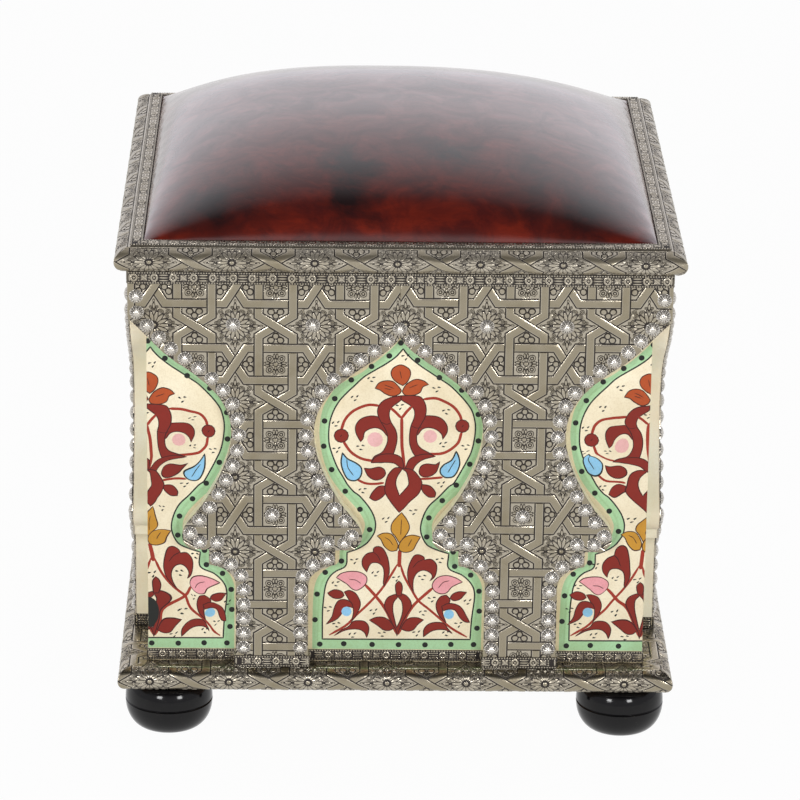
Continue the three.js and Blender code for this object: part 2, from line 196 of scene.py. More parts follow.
def is_inside(points: np.ndarray, outline: np.ndarray) -> np.ndarray:
    """Finds which points lie inside a closed outline.

    Args:
        points: The points.
        outline: The outline.

    Returns:
        Whether each point lies inside.
    """
    result = np.zeros(len(points), dtype=bool)
    low, high = outline.min(axis=0), outline.max(axis=0)
    near = np.flatnonzero(np.all((points >= low) & (points <= high), axis=1))
    x, z = points[near, 0][:, None], points[near, 1][:, None]
    start, end = outline, np.roll(outline, -1, axis=0)
    rise = end[:, 1] - start[:, 1]
    rise[rise == 0] = TINY
    straddles = (start[:, 1] > z) != (end[:, 1] > z)
    crossing = start[:, 0] + (z - start[:, 1]) * (end[:, 0] - start[:, 0]) / rise
    result[near] = np.count_nonzero(straddles & (x < crossing), axis=1) % 2 == 1
    return result


def arrange(outline: np.ndarray, lines: Iterable[np.ndarray]) -> tuple[np.ndarray, np.ndarray]:
    """Triangles that fill an outline and keep every line as edges.

    Args:
        outline: The closed outline, anticlockwise.
        lines: Open or closed lines, or single points, which may run past the outline.

    Returns:
        The points and the triangles.
    """
    coords = [outline]
    edges = []
    count = len(outline)
    for line in lines:
        coords.append(line)
        edges.extend((count + i, count + i + 1) for i in range(len(line) - 1))
        count += len(line)
    stacked = [Vector(point) for point in np.vstack(coords).tolist()]
    merge = 2e-3
    found, _, triangles, _, _, origins = delaunay_2d_cdt(
        stacked, edges, [list(range(len(outline)))], 0, merge, True
    )
    kept = np.array([tri for tri, origin in zip(triangles, origins) if origin and len(tri) == 3])
    used, inverse = np.unique(kept, return_inverse=True)
    points = np.array([tuple(point) for point in found])[used]
    triangles = inverse.reshape(kept.shape)
    a, b, c = (points[triangles[:, k]] for k in range(3))
    area = (b[:, 0] - a[:, 0]) * (c[:, 1] - a[:, 1]) - (b[:, 1] - a[:, 1]) * (c[:, 0] - a[:, 0])
    triangles[area < 0] = triangles[area < 0][:, ::-1]
    return points, triangles[np.abs(area) > TINY]


class Plate:
    """A thin plate cut to an outline, whose face keeps every line of a drawing as edges."""

    def __init__(self, outline: np.ndarray, lines: Iterable[np.ndarray], ribs: Iterable[np.ndarray] = ()):
        """Cuts the plate.

        Args:
            outline: The closed outline.
            lines: The lines of the drawing on the face.
            ribs: Lines along which both the face and the back may bend.
        """
        if signed_area(outline) < 0:
            outline = outline[::-1]
        ribs = list(ribs)
        self.points, self.triangles = arrange(outline, [*lines, *ribs])
        self.rim = self._walk_rim()
        self.back_points, self.back_triangles = arrange(self.points[self.rim], ribs)

    def _walk_rim(self) -> np.ndarray:
        """The points on the rim in order, anticlockwise."""
        a = self.triangles.ravel()
        b = np.roll(self.triangles, -1, axis=1).ravel()
        count = len(self.points)
        single = ~np.isin(a * count + b, b * count + a)
        following = dict(zip(a[single].tolist(), b[single].tolist()))
        start = next(iter(following))
        rim = [start]
        while following[rim[-1]] != start:
            rim.append(following[rim[-1]])
        return np.array(rim)

    def solid(self, face: np.ndarray, back: np.ndarray) -> tuple[np.ndarray, Faces]:
        """Closes the plate between its face and its back.

        Args:
            face: The place of each point of the face.
            back: The place of each point of the back.

        Returns:
            The corners and the faces, those of the plate's own face first.
        """
        count = len(face)
        keys = {tuple(key): i for i, key in enumerate(np.round(self.back_points, 2).tolist())}
        nearest = []
        for point in self.points[self.rim]:
            i = keys.get(tuple(np.round(point, 2).tolist()))
            if i is None:
                i = int(np.argmin(np.sum((self.back_points - point) ** 2, axis=1)))
            nearest.append(count + i)
        rim = self.rim.tolist()
        skirt = [
            (rim[i - 1], nearest[i - 1], nearest[i], rim[i])
            for i in range(len(rim))
            if nearest[i - 1] != nearest[i]
        ]
        faces = [tuple(tri) for tri in self.triangles.tolist()]
        faces += [tuple(tri) for tri in (self.back_triangles[:, ::-1] + count).tolist()]
        return np.vstack([face, back]), faces + skirt


# Marks struck into the metal


@dataclass(frozen=True)
class Strap:
    """A straight length of an embossed strap, mitred or cut square at its ends.

    Its section gives the height at distances from the middle line. Beyond the last one the metal
    underneath shows, and from the last but one it comes back to that height.
    """

    start: Pair
    end: Pair
    before: Pair | None = None
    after: Pair | None = None
    covered: tuple[Pair, ...] = ()
    section: tuple[Pair, ...] = (
        (0.0, 0.62), (2.3, 0.6), (3.0, 0.3), (3.08, -0.35), (3.85, -0.35), (4.1, 0.0),
    )

    def moved(self, x: float, z: float) -> "Strap":
        """The same strap in another place."""
        start = (self.start[0] + x, self.start[1] + z)
        return replace(self, start=start, end=(self.end[0] + x, self.end[1] + z))

    def _axes(self) -> tuple[np.ndarray, np.ndarray, float, np.ndarray, np.ndarray]:
        """Its start, its direction and its length, and the directions across which it is cut."""
        start = np.array(self.start)
        span = np.array(self.end) - start
        length = float(np.linalg.norm(span))
        along = span / length
        cuts = []
        for other in (self.before, self.after):
            cut = along if other is None else along + np.array(other) / np.linalg.norm(other)
            cuts.append(cut)
        return start, along, length, cuts[0], cuts[1]

    def lines(self) -> list[np.ndarray]:
        """The lines along which its height turns."""
        start, along, length, first_cut, last_cut = self._axes()
        normal = np.array([-along[1], along[0]])
        result = []
        for distance, _ in self.section[1:]:
            for offset in (-distance, distance):
                first = -offset * (normal @ first_cut) / (along @ first_cut)
                last = length - offset * (normal @ last_cut) / (along @ last_cut)
                marks = [first]
                for low, high in self.covered:
                    marks += [low, high]
                marks.append(last)
                for low, high in zip(marks[::2], marks[1::2]):
                    result.append(np.array([start + normal * offset + along * t for t in (low, high)]))
        return result

    def strike(self, points: np.ndarray, heights: np.ndarray) -> None:
        """Gives the points under the strap their height.

        Args:
            points: The points of the sheet.
            heights: Their heights, which are changed in place.
        """
        start, along, length, first_cut, last_cut = self._axes()
        local = points - start
        across = np.abs(local[:, 0] * along[1] - local[:, 1] * along[0])
        reach, _ = self.section[-1]
        within = (
            (across <= reach + SLACK)
            & (local @ first_cut >= -SLACK)
            & ((local - along * length) @ last_cut <= SLACK)
        )
        distances, levels = zip(*self.section[:-1])
        across = across[within]
        share = np.clip((across - distances[-1]) / (reach - distances[-1]), 0, 1)
        struck = np.interp(across, distances, levels)
        heights[within] = struck * (1 - share) + heights[within] * share


PETAL = ((0.0, 0.42), (0.72, 0.36), (1.0, -0.36))
DISC = ((0.0, 0.48), (0.72, 0.46), (0.84, -0.36), (1.0, -0.36))
WIRE = ((0.0, 0.38), (0.75, 0.34), (1.0, -0.16))
LOOP = ((0.0, 0.34), (0.22, 0.3), (0.3, -0.16), (0.48, -0.16), (0.6, 0.36), (0.88, 0.36), (1.0, -0.16))
BEAD = ((0.0, 0.6), (0.7, 0.44), (1.0, -0.3))
CURL = ((0.0, 0.3), (0.25, 0.28), (0.36, -0.34), (0.5, -0.34), (0.62, 0.34), (0.82, 0.34), (1.0, -0.36))
ROUND_BOSS = ((0.0, 0.8), (0.35, 0.74), (0.7, 0.5), (1.0, -0.36))


@dataclass(frozen=True)
class Boss:
    """An oval raised mark. Its section gives the height at shares of the way out from its middle."""

    centre: Pair
    reach: Pair
    turn: float = 0.0
    section: tuple[Pair, ...] = PETAL
    rim: float = 0.35
    corners: int = 8

    def moved(self, x: float, z: float) -> "Boss":
        """The same mark in another place."""
        return replace(self, centre=(self.centre[0] + x, self.centre[1] + z))

    def _outer(self) -> float:
        """The gauge at which the metal comes back to its old height."""
        return 1 + self.rim / min(self.reach)

    def lines(self) -> list[np.ndarray]:
        """The rings along which its height turns, and its middle."""
        angles = np.linspace(0, 2 * math.pi, self.corners + 1)
        circle = np.column_stack([np.cos(angles), np.sin(angles)]) * self.reach
        circle[-1] = circle[0]
        gauges = [gauge for gauge, _ in self.section[1:]]
        if self.rim > 0:
            gauges.append(self._outer())
        rings = [turned(circle * gauge, self.turn) + self.centre for gauge in gauges]
        return [np.array([self.centre]), *rings]

    def strike(self, points: np.ndarray, heights: np.ndarray) -> None:
        """Gives the points under the mark their height.

        Args:
            points: The points of the sheet.
            heights: Their heights, which are changed in place.
        """
        size = max(self.reach) + self.rim + 0.1
        near = np.flatnonzero(np.all(np.abs(points - self.centre) <= size, axis=1))
        local = turned(points[near] - self.centre, -self.turn) / self.reach
        gauge = np.sqrt((local ** 2).sum(axis=1))
        outer = self._outer()
        hit = gauge <= outer + SLACK
        near, gauge = near[hit], gauge[hit]
        gauges, levels = zip(*self.section)
        share = np.clip((gauge - 1) / (outer - 1), 0, 1) if self.rim > 0 else 0.0
        heights[near] = np.interp(gauge, gauges, levels) * (1 - share) + heights[near] * share


Mark = Strap | Boss


# Marks on a spoke of a flower: way along and across it, reach, turn (None for upright), section, rim, corners
ROSETTE_PETAL = ((7.4, 0.0, (4.5, 1.55), 0, PETAL, 0.45, 10),)
ROSETTE_CURL = ((13.2, 0.0, (1.25, 2.2), 0, CURL, 0.25, 8),)
ROSETTE_TIP = (
    (16.2, 0.0, (2.6, 1.1), 0, PETAL, 0.3, 7), (15.2, 2.5, (1.1, 1.1), 0, CURL, 0.3, 7),
    (15.2, -2.5, (1.1, 1.1), 0, CURL, 0.3, 7), (20.6, 0.0, (1.2, 0.8), 0, PETAL, 0.3, 7),
)
ROSETTE_CORNER = (
    (16.2, 0.0, (1.9, 1.9), None, CURL, 0.3, 7), (17.4, 3.4, (1.0, 1.0), None, BEAD, 0.3, 7),
    (17.4, -3.4, (1.0, 1.0), None, BEAD, 0.3, 7),
)
CELL_PETALS = (
    (6.6, -1.15, (2.0, 0.85), 0, PETAL, 0.35, 8), (6.6, 1.15, (2.0, 0.85), 0, PETAL, 0.35, 8),
    (3.2, 0.0, (1.6, 1.0), 0, PETAL, 0.35, 8),
)
CELL_CURL = ((6.6, 0.0, (3.0, 2.7), 0, CURL, 0.3, 10),)
TREFOIL = (
    (20.2, 3.7, (2.7, 2.9), 18, DISC, 0.45, 10), (20.2, -3.7, (2.7, 2.9), -18, DISC, 0.45, 10),
    (23.6, 0.0, (2.7, 2.6), 0, DISC, 0.45, 10),
)


def on_spoke(angle: float, rows: tuple, middle: float = 0.0) -> list[Mark]:
    """Marks that stand on one spoke of a flower.

    Args:
        angle: The spoke's direction in degrees.
        rows: The marks, as in the tables above.
        middle: The middle of the flower, the same along and across.

    Returns:
        The marks.
    """
    marks = []
    for along, across, reach, turn, *rest in rows:
        place = turned(np.array([along, across]), angle) + middle
        marks.append(Boss(tuple(place), reach, 0 if turn is None else angle + turn, *rest))
    return marks


@dataclass(frozen=True)
class Lattice:
    """The knotted strapwork that covers the metal, drawn as one square repeat round a cell."""

    repeat: float = 64.0
    column: float = 13.5
    bend: float = 23.5
    cross_over: float = 4.1
    patch: float = 4.3
    petal_count: int = 14
    boss: Boss = Boss((0, 0), (1.9, 1.9), 0, ROUND_BOSS, 0.3, 9)
    bead: Boss = Boss((0, 0), (1.9, 1.9), 0, BEAD, 0.5, 9)

    def _flowers(self) -> list[Mark]:
        """The four-lobed flower of the cell, the leaves between the straps and the rosette at the corner."""
        middle = self.repeat / 2
        quarters = range(0, 360, 90)
        marks = [mark for a in quarters for mark in on_spoke(a, CELL_PETALS) + on_spoke(a + 45, CELL_CURL)]
        marks.append(self.bead)
        marks += [mark for angle in quarters for mark in on_spoke(angle, TREFOIL)]
        for i in range(self.petal_count):
            angle = 360 * i / self.petal_count
            marks += on_spoke(angle, ROSETTE_PETAL, middle)
            marks += on_spoke(angle + 180 / self.petal_count, ROSETTE_CURL, middle)
        for angle in quarters:
            marks += on_spoke(angle, ROSETTE_TIP, middle) + on_spoke(angle + 45, ROSETTE_CORNER, middle)
        return [*marks, self.boss.moved(middle, middle)]

    def _straps(self) -> list[Mark]:
        """Columns, rows and the crossings between them, the upper ones last."""
        column, bend, half = self.column, self.bend, self.repeat / 2
        slope = (2 * column, 2 * (half - bend))
        hidden, late = (
            ((bend + way - self.cross_over, bend + way + self.cross_over),) for way in (-column, column)
        )
        runs, lower, upper = [], [], []
        for upright in (True, False):
            def place(along: float, across: float, is_upright: bool = upright) -> Pair:
                """A point or a direction, given along and across the strap."""
                return (across, along) if is_upright else (along, across)
            straight = place(1.0, 0.0)
            for sign in ENDS:
                lean_in, lean_out = place(slope[1], sign * slope[0]), place(slope[1], -sign * slope[0])
                runs.append(Strap(
                    place(-bend, sign * column), place(bend, sign * column), before=lean_in, after=lean_out,
                    covered=hidden if upright == (sign < 0) else late,
                ))
                diagonal = Strap(
                    place(bend, sign * column), place(2 * half - bend, -sign * column),
                    before=straight, after=straight,
                )
                (lower if (sign > 0) == (not upright) else upper).append(diagonal)
        patches = []
        for x, z in ((-column, column), (column, column), (column, -column), (-column, -column)):
            reach = (0.0, self.patch) if x * z < 0 else (self.patch, 0.0)
            patches.append(Strap((x - reach[0], z - reach[1]), (x + reach[0], z + reach[1])))
        return [*runs, *lower, *upper, *patches]

    def marks(self, outline: np.ndarray, origin: Pair) -> list[Mark]:
        """The marks of every repeat that touches an outline, lowest first.

        Args:
            outline: The edge of the sheet.
            origin: The middle of one cell.

        Returns:
            The marks in the order in which they are struck.
        """
        low, high = outline.min(axis=0), outline.max(axis=0)
        first = np.floor((low - origin) / self.repeat).astype(int) - 1
        last = np.ceil((high - origin) / self.repeat).astype(int) + 1
        placed = []
        for mark in [*self._flowers(), *self._straps()]:
            for i in range(first[0], last[0] + 1):
                for j in range(first[1], last[1] + 1):
                    moved = mark.moved(origin[0] + i * self.repeat, origin[1] + j * self.repeat)
                    if np.any(is_inside(np.vstack(moved.lines()), outline)):
                        placed.append(moved)
        return placed


@dataclass(frozen=True)
class Braid:
    """The running pattern of the border strips, between two rows of beads."""

    width: float = 9.0
    repeat: float = 31.0
    bead: Pair = (0.85, 0.8)
    bead_pitch: float = 2.1
    bead_inset: float = 0.95
    inner_inset: float = 0.75
    bar: Pair = (4.1, 0.72)
    bar_shares: tuple[float, ...] = (-0.66, 0.0, 0.66)
    loop_place: float = 7.5
    loop_half: float = 3.2
    loop_overlap: float = 0.15
    column_place: float = 11.4
    column_share: float = 1.6
    leaf: Pair = (3.9, 0.9)
    leaf_turns: Pair = (42, 138)
    end_clear: float = 3.2
    end_place: float = 1.5
    end_half: float = 0.8
    ground: float = -0.16

    def _unit(self, x: float, scale: float) -> list[Mark]:
        """One repeat: bars between two loops and two columns of beads, and a cross.

        Args:
            x: The middle of the bars.
            scale: The half height of the space between the rows of beads.

        Returns:
            The marks.
        """
        marks = [Boss((x, share * scale), self.bar, 0, WIRE, 0.0, 8) for share in self.bar_shares]
        for side in ENDS:
            loop = (self.loop_half, scale + self.loop_overlap)
            marks.append(Boss((x + side * self.loop_place, 0), loop, 0, LOOP, 0.0, 10))
            for z in (-scale / self.column_share, 0, scale / self.column_share):
                marks.append(Boss((x + side * self.column_place, z), self.bead, 0, WIRE, 0.0, 6))
        cross = x + self.repeat / 2
        return marks + [Boss((cross, 0), self.leaf, turn, WIRE, 0.0, 8) for turn in self.leaf_turns]

    def marks(self, length: float, origin: float = 0.0) -> list[Mark]:
        """The marks of a strip that runs evenly to both sides of its middle.

        Args:
            length: The length of the strip.
            origin: How far the pattern is shifted along it.

        Returns:
            The marks in the order in which they are struck.
        """
        half = length / 2
        edge = self.width / 2 - self.bead_inset
        scale = edge - self.inner_inset
        count = int(length / self.bead_pitch)
        marks: list[Mark] = [
            Boss(((i + 0.5) * length / count - half, z), self.bead, 0, WIRE, 0.0, 6)
            for i in range(count) for z in (-edge, edge)
        ]
        steps = int(half / self.repeat) + 2
        for k in range(-steps, steps + 1):
            unit = self._unit(origin + k * self.repeat, scale)
            marks += [mark for mark in unit if abs(mark.centre[0]) < half - self.end_clear]
        end = half - self.end_place
        return marks + [Boss((side * end, 0), (self.end_half, scale), 0, WIRE, 0.0, 8) for side in ENDS]


def dented(points: np.ndarray, depth: float = 0.1) -> np.ndarray:
    """Slow hand-made dents in thin metal.

    Args:
        points: The points of the sheet.
        depth: The depth of the deepest dent.

    Returns:
        How far each point stands out of true.
    """
    x, z = points[:, 0], points[:, 1]
    waves = (
        np.sin(0.19 * x + 0.11 * z + 0.7) * np.sin(0.13 * z - 0.07 * x + 2.1)
        + 0.6 * np.sin(0.41 * x - 0.23 * z + 1.9) * np.sin(0.37 * z + 0.29 * x)
        + 0.35 * np.sin(0.83 * x + 0.61 * z) * np.sin(0.71 * z - 0.57 * x + 0.4)
    )
    return depth * waves / 1.95


# Pieces


@dataclass
class Shape:
    """A mesh in the making, in millimetres."""

    corners: np.ndarray
    faces: Faces
    relief: np.ndarray | None = None
    paint: np.ndarray | None = None

    def placed(self, offset: Iterable[float]) -> "Shape":
        """The same shape in another place."""
        return replace(self, corners=self.corners + offset)

    def quarter_turned(self, count: int) -> "Shape":
        """The same shape turned about the stool's axis by a number of quarter turns."""
        flat = turned(self.corners[:, :2], 90 * count)
        return replace(self, corners=np.column_stack([flat, self.corners[:, 2]]))

    def mesh(self, name: str, sharp: float | None) -> bpy.types.Mesh:
        """Makes the mesh in metres.

        Args:
            name: The mesh's name.
            sharp: The angle in degrees from which an edge is kept sharp, or None for flat faces.

        Returns:
            The mesh.
        """
        mesh = bpy.data.meshes.new(name)
        mesh.from_pydata((self.corners * MM).tolist(), [], self.faces)
        for title, kind, domain, key, values in (
            ("relief", "FLOAT", "POINT", "value", self.relief),
            ("paint", "FLOAT_COLOR", "CORNER", "color", self.paint),
        ):
            if values is not None:
                layer = mesh.attributes.new(title, kind, domain)
                layer.data.foreach_set(key, values.astype(np.float32).ravel())
        if sharp is not None:
            mesh.shade_smooth()
            mesh.set_sharp_from_angle(angle=math.radians(sharp))
        return mesh


def joined(shapes: Iterable[Shape]) -> Shape:
    """Several embossed shapes as one.

    Args:
        shapes: The shapes.

    Returns:
        The one shape.
    """
    corners, faces, relief = [], [], []
    count = 0
    for shape in shapes:
        corners.append(shape.corners)
        relief.append(shape.relief)
        faces += [tuple(i + count for i in face) for face in shape.faces]
        count += len(shape.corners)
    return Shape(np.vstack(corners), faces, np.concatenate(relief))


def band(low: int, high: int, count: int) -> Faces:
    """The faces between two closed rings of corners.

    Args:
        low: The first corner of the lower ring.
        high: The first corner of the upper ring.
        count: How many corners a ring has.

    Returns:
        One face for each step round the rings.
    """
    steps = [(i, (i + 1) % count) for i in range(count)]
    return [(low + i, low + j, high + j, high + i) for i, j in steps]


def ring_of(radius: float, height: float, count: int) -> np.ndarray:
    """The corners of a level ring about the Z axis."""
    angles = 2 * math.pi * np.arange(count) / count
    return np.column_stack([radius * np.cos(angles), radius * np.sin(angles), np.full(count, height)])


def add_piece(
    name: str, mesh: bpy.types.Mesh, finish: "Finish", nodes: Iterable[str] = (), quarter_turns: int = 0,
) -> bpy.types.Object:
    """Puts a mesh into the scene as a piece of the stool.

    Args:
        name: The piece's name.
        mesh: Its mesh.
        finish: Its finish.
        nodes: The nodes of the solid model that it stands for.
        quarter_turns: How far it is turned about the stool's axis.

    Returns:
        The piece.
    """
    if not mesh.materials:
        mesh.materials.append(finish.material())
    piece = bpy.data.objects.new(name, mesh)
    bpy.context.scene.collection.objects.link(piece)
    piece.matrix_world = Matrix.Rotation(quarter_turns * math.pi / 2, 4, "Z")
    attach(piece, "root")
    if nodes:
        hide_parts(*nodes)
    log.info("%s: %d faces", name, len(mesh.polygons))
    return piece


def add_round(name: str, shape: Shape, finish: "Finish", node: str = "", sharp: float | None = 35.0) -> None:
    """Adds a piece to each of the four sides.

    Args:
        name: The name of the piece, without its side.
        shape: The piece on the front.
        finish: Its finish.
        node: The name of the node that it stands for, with a star for the side, if it stands for one.
        sharp: The angle from which an edge is kept sharp, or None for flat faces.
    """
    mesh = shape.mesh(name, sharp)
    for i, side in enumerate(SIDES):
        add_piece(f"{name}_{side}", mesh, finish, [node.replace("*", side)] if node else [], i)

# Materials


Node = bpy.types.Node
Socket = bpy.types.NodeSocket
Value = Socket | float | tuple


class Graph:
    """The nodes of a material, a world or a group while they are being set up."""

    def __init__(self, tree: bpy.types.NodeTree):
        """Starts on an emptied tree."""
        self.tree = tree
        tree.nodes.clear()

    def _feed(self, socket: Socket, value: Value) -> None:
        """Sets an input to a value, or links it to another node's output."""
        if isinstance(value, Socket):
            self.tree.links.new(value, socket)
        else:
            socket.default_value = value

    def add(self, kind: str, inputs: dict | None = None, **settings) -> Node:
        """Adds a node.

        Args:
            kind: The node's type.
            inputs: A value or another node's output for each input, by name or number.
            **settings: The node's own settings.

        Returns:
            The node.
        """
        node = self.tree.nodes.new(kind)
        for key, value in settings.items():
            setattr(node, key, value)
        for key, value in (inputs or {}).items():
            self._feed(node.inputs[key], value)
        return node

    def math(
        self, operation: str, first: Value, second: Value = 0.0, third: Value | None = None,
        clamp: bool = False,
    ) -> Socket:
        """One step of arithmetic.

        Args:
            operation: What is done.
            first: A value or an output.
            second: A value or an output.
            third: A value, where the operation takes one.
            clamp: Whether the result is held between 0 and 1.

        Returns:
            The result.
        """
        inputs = {0: first, 1: second} if third is None else {0: first, 1: second, 2: third}
        return self.add("ShaderNodeMath", inputs, operation=operation, use_clamp=clamp).outputs[0]

    def mix(self, factor: Value, first: Value, second: Value, blend: str = "MIX") -> Socket:
        """Two colours mixed.

        Args:
            factor: The share of the second one.
            first: A colour or an output.
            second: A colour or an output.
            blend: How they are mixed.

        Returns:
            The mixed colour.
        """
        node = self.add("ShaderNodeMix", data_type="RGBA", blend_type=blend)
        for name, value in (("Factor_Float", factor), ("A_Color", first), ("B_Color", second)):
            self._feed(next(item for item in node.inputs if item.identifier == name), value)
        return next(item for item in node.outputs if item.identifier == "Result_Color")

    def spread(
        self, value: Value, low: float, high: float, to_low: float = 0.0, to_high: float = 1.0,
    ) -> Socket:
        """A value taken from one range to another and held there.

        Args:
            value: The value.
            low: The first range's start.
            high: The first range's end.
            to_low: The second range's start.
            to_high: The second range's end.

        Returns:
            The value in the second range.
        """
        return self.add("ShaderNodeMapRange", {0: value, 1: low, 2: high, 3: to_low, 4: to_high}).outputs[0]

    def noise(self, vector: Socket, scale: float, detail: float, rough: float, warp: float = 0.0) -> Socket:
        """Cloudy values round a half."""
        inputs = {"Vector": vector, "Scale": scale, "Detail": detail, "Roughness": rough, "Distortion": warp}
        return self.add("ShaderNodeTexNoise", inputs).outputs["Fac"]

    def place(self, scale: tuple[float, float, float] = (1.0, 1.0, 1.0)) -> Socket:
        """The place on the piece in metres, stretched by a scale."""
        where = self.add("ShaderNodeTexCoord").outputs["Object"]
        return self.add("ShaderNodeMapping", {"Vector": where, "Scale": scale}).outputs["Vector"]

    def attribute(self, name: str, output: str) -> Socket:
        """What a mesh carries under a name."""
        return self.add("ShaderNodeAttribute", attribute_name=name).outputs[output]

    def surface(self, inputs: dict, height: Socket, strength: float, distance: float) -> Node:
        """The shader at the end of a material.

        Args:
            inputs: Its inputs but for the normal.
            height: The height that bumps it.
            strength: How strong the bump is.
            distance: How high the bump is, in metres.

        Returns:
            The shader.
        """
        bump = self.add("ShaderNodeBump", {"Height": height, "Strength": strength, "Distance": distance})
        return self.add("ShaderNodeBsdfPrincipled", {**inputs, "Normal": bump.outputs[0]})


def make_group(name: str, inputs: dict, outputs: dict, build: Callable) -> bpy.types.NodeTree:
    """A shader group with named sockets, made once.

    Args:
        name: The group's name.
        inputs: The socket type and the usual value of each input.
        outputs: The socket type of each output.
        build: Makes the nodes and gives what each output carries.

    Returns:
        The group.
    """
    tree = bpy.data.node_groups.get(name)
    if tree:
        return tree
    tree = bpy.data.node_groups.new(name, "ShaderNodeTree")
    for title, (kind, value) in inputs.items():
        tree.interface.new_socket(title, in_out="INPUT", socket_type=kind).default_value = value
    for title, kind in outputs.items():
        tree.interface.new_socket(title, in_out="OUTPUT", socket_type=kind)
    graph = Graph(tree)
    entry = graph.add("NodeGroupInput")
    graph.add("NodeGroupOutput", build(graph, {title: entry.outputs[title] for title in inputs}))
    return tree


FLOAT = "NodeSocketFloat"
COLOUR = "NodeSocketColor"


def hand_finish_group() -> bpy.types.NodeTree:
    """Uneven colour, gloss and surface of something finished by hand."""
    def build(graph: Graph, sockets: dict) -> dict:
        """Makes the nodes."""
        place = graph.place()
        cloud = graph.noise(place, 22.0, 5.0, 0.55)
        fine = graph.noise(place, 900.0, 3.0, 0.6)
        brush = graph.noise(graph.place((60.0, 60.0, 500.0)), 1.0, 3.0, 0.6)
        colour = sockets["Color"]
        for mask in (graph.spread(cloud, 0.35, 0.75), graph.spread(fine, 0.45, 0.9)):
            amount = graph.math("MULTIPLY", mask, sockets["Unevenness"])
            colour = graph.mix(amount, colour, sockets["Stain"])
        gloss = graph.math("MULTIPLY_ADD", cloud, 0.25, -0.12)
        height = graph.math("ADD", graph.math("MULTIPLY", brush, 0.6), graph.math("MULTIPLY", fine, 0.4))
        roughness = graph.math("ADD", sockets["Roughness"], gloss, clamp=True)
        return {"Color": colour, "Roughness": roughness, "Height": height}
    return make_group(
        "hand_finish",
        {
            "Color": (COLOUR, (0.8, 0.8, 0.8, 1)), "Stain": (COLOUR, (0.4, 0.35, 0.3, 1)),
            "Unevenness": (FLOAT, 0.3), "Roughness": (FLOAT, 0.5),
        },
        {"Color": COLOUR, "Roughness": FLOAT, "Height": FLOAT},
        build,
    )


@dataclass(frozen=True)
class Finish:
    """What every finish has: a name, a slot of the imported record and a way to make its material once."""

    name: str
    slot: Slot

    def material(self) -> bpy.types.Material:
        """The finish's material, made when it is first asked for."""
        found = bpy.data.materials.get(self.name)
        if found:
            return found
        material = bpy.data.materials.new(self.name)
        material.use_nodes = True
        graph = Graph(material.node_tree)
        graph.add("ShaderNodeOutputMaterial", {"Surface": self._surface(graph).outputs[0]})
        return material

    def _surface(self, graph: Graph) -> Node:
        """The shader at the end of the graph."""
        raise NotImplementedError

    def _by_hand(
        self, graph: Graph, colour: Value, stain: Value, unevenness: float, roughness: float,
    ) -> tuple[dict, Socket]:
        """The shared hand finish.

        Args:
            graph: The material's graph.
            colour: The finish's colour.
            stain: The colour that it is uneven towards.
            unevenness: How far it goes there.
            roughness: Its usual roughness.

        Returns:
            The shader's colour and roughness, and the height of the brush marks.
        """
        inputs = {"Color": colour, "Stain": stain, "Unevenness": unevenness, "Roughness": roughness}
        hand = graph.add("ShaderNodeGroup", inputs, node_tree=hand_finish_group()).outputs
        return {"Base Color": hand["Color"], "Roughness": hand["Roughness"]}, hand["Height"]


@dataclass(frozen=True)
class NickelSilver(Finish):
    """Embossed white metal, rubbed bright on its high parts and dark in its hollows."""

    name: str = "rubbed_nickel_silver"
    slot: Slot = Slot.NICKEL_SILVER
    bright: tuple = srgb(154, 145, 125)
    field: tuple = srgb(180, 172, 156)
    dark: tuple = srgb(26, 17, 10)
    tarnish: tuple = srgb(128, 116, 90)
    gloss: float = 0.2
    metallic: float = 1.0
    hollow: float = -0.16

    def _surface(self, graph: Graph) -> Node:
        """Colour and gloss by how high the metal stands."""
        relief = graph.attribute("relief", "Fac")
        place = graph.place()
        blotch = graph.noise(place, 34.0, 5.0, 0.6, 0.4)
        speck = graph.noise(place, 1500.0, 2.0, 0.5)
        beaten = graph.noise(place, 520.0, 2.0, 0.5)
        hair = graph.noise(graph.place((120.0, 120.0, 2600.0)), 1.0, 2.0, 0.6)
        hollow = graph.spread(relief, 0.0, self.hollow)
        # The low chased ground takes the lighter field colour: painted light for the lamps' light that its
        # stippled surface scatters.
        base = graph.mix(graph.spread(relief, 0.35, 0.62), self.field, self.bright)
        base = graph.mix(graph.spread(blotch, 0.5, 0.78, 0.0, 0.55), base, self.tarnish)
        base = graph.mix(graph.spread(speck, 0.62, 0.8, 0.0, 0.35), base, self.dark)
        base = graph.mix(hollow, base, self.dark)
        rough = graph.spread(blotch, 0.3, 0.75, self.gloss, self.gloss + 0.12)
        rough = graph.math("ADD", rough, graph.math("MULTIPLY", hollow, 0.4), clamp=True)
        height = graph.math("ADD", graph.math("MULTIPLY", hair, 0.4), graph.math("MULTIPLY", blotch, 1.2))
        low = graph.spread(relief, 0.3, 0.05, 0.5, 2.2)
        height = graph.math("ADD", height, graph.math("MULTIPLY", beaten, low))
        metallic = graph.spread(hollow, 0.0, 1.0, self.metallic, 0.0)
        inputs = {"Base Color": base, "Metallic": metallic, "Roughness": rough}
        return graph.surface(inputs, height, 0.4, 0.0003)


@dataclass(frozen=True)
class PlainPaint(Finish):
    """Brushed paint of one colour over wood."""

    name: str = "cream_paint"
    slot: Slot = Slot.PAINTED_WOOD
    colour: tuple = srgb(238, 228, 198)
    stain: tuple = srgb(196, 166, 112)
    roughness: float = 0.5

    def _surface(self, graph: Graph) -> Node:
        """Uneven paint with brush marks."""
        inputs, height = self._by_hand(graph, self.colour, self.stain, 0.35, self.roughness)
        return graph.surface({**inputs, "Coat Weight": 0.25, "Coat Roughness": 0.25}, height, 0.35, 0.0002)


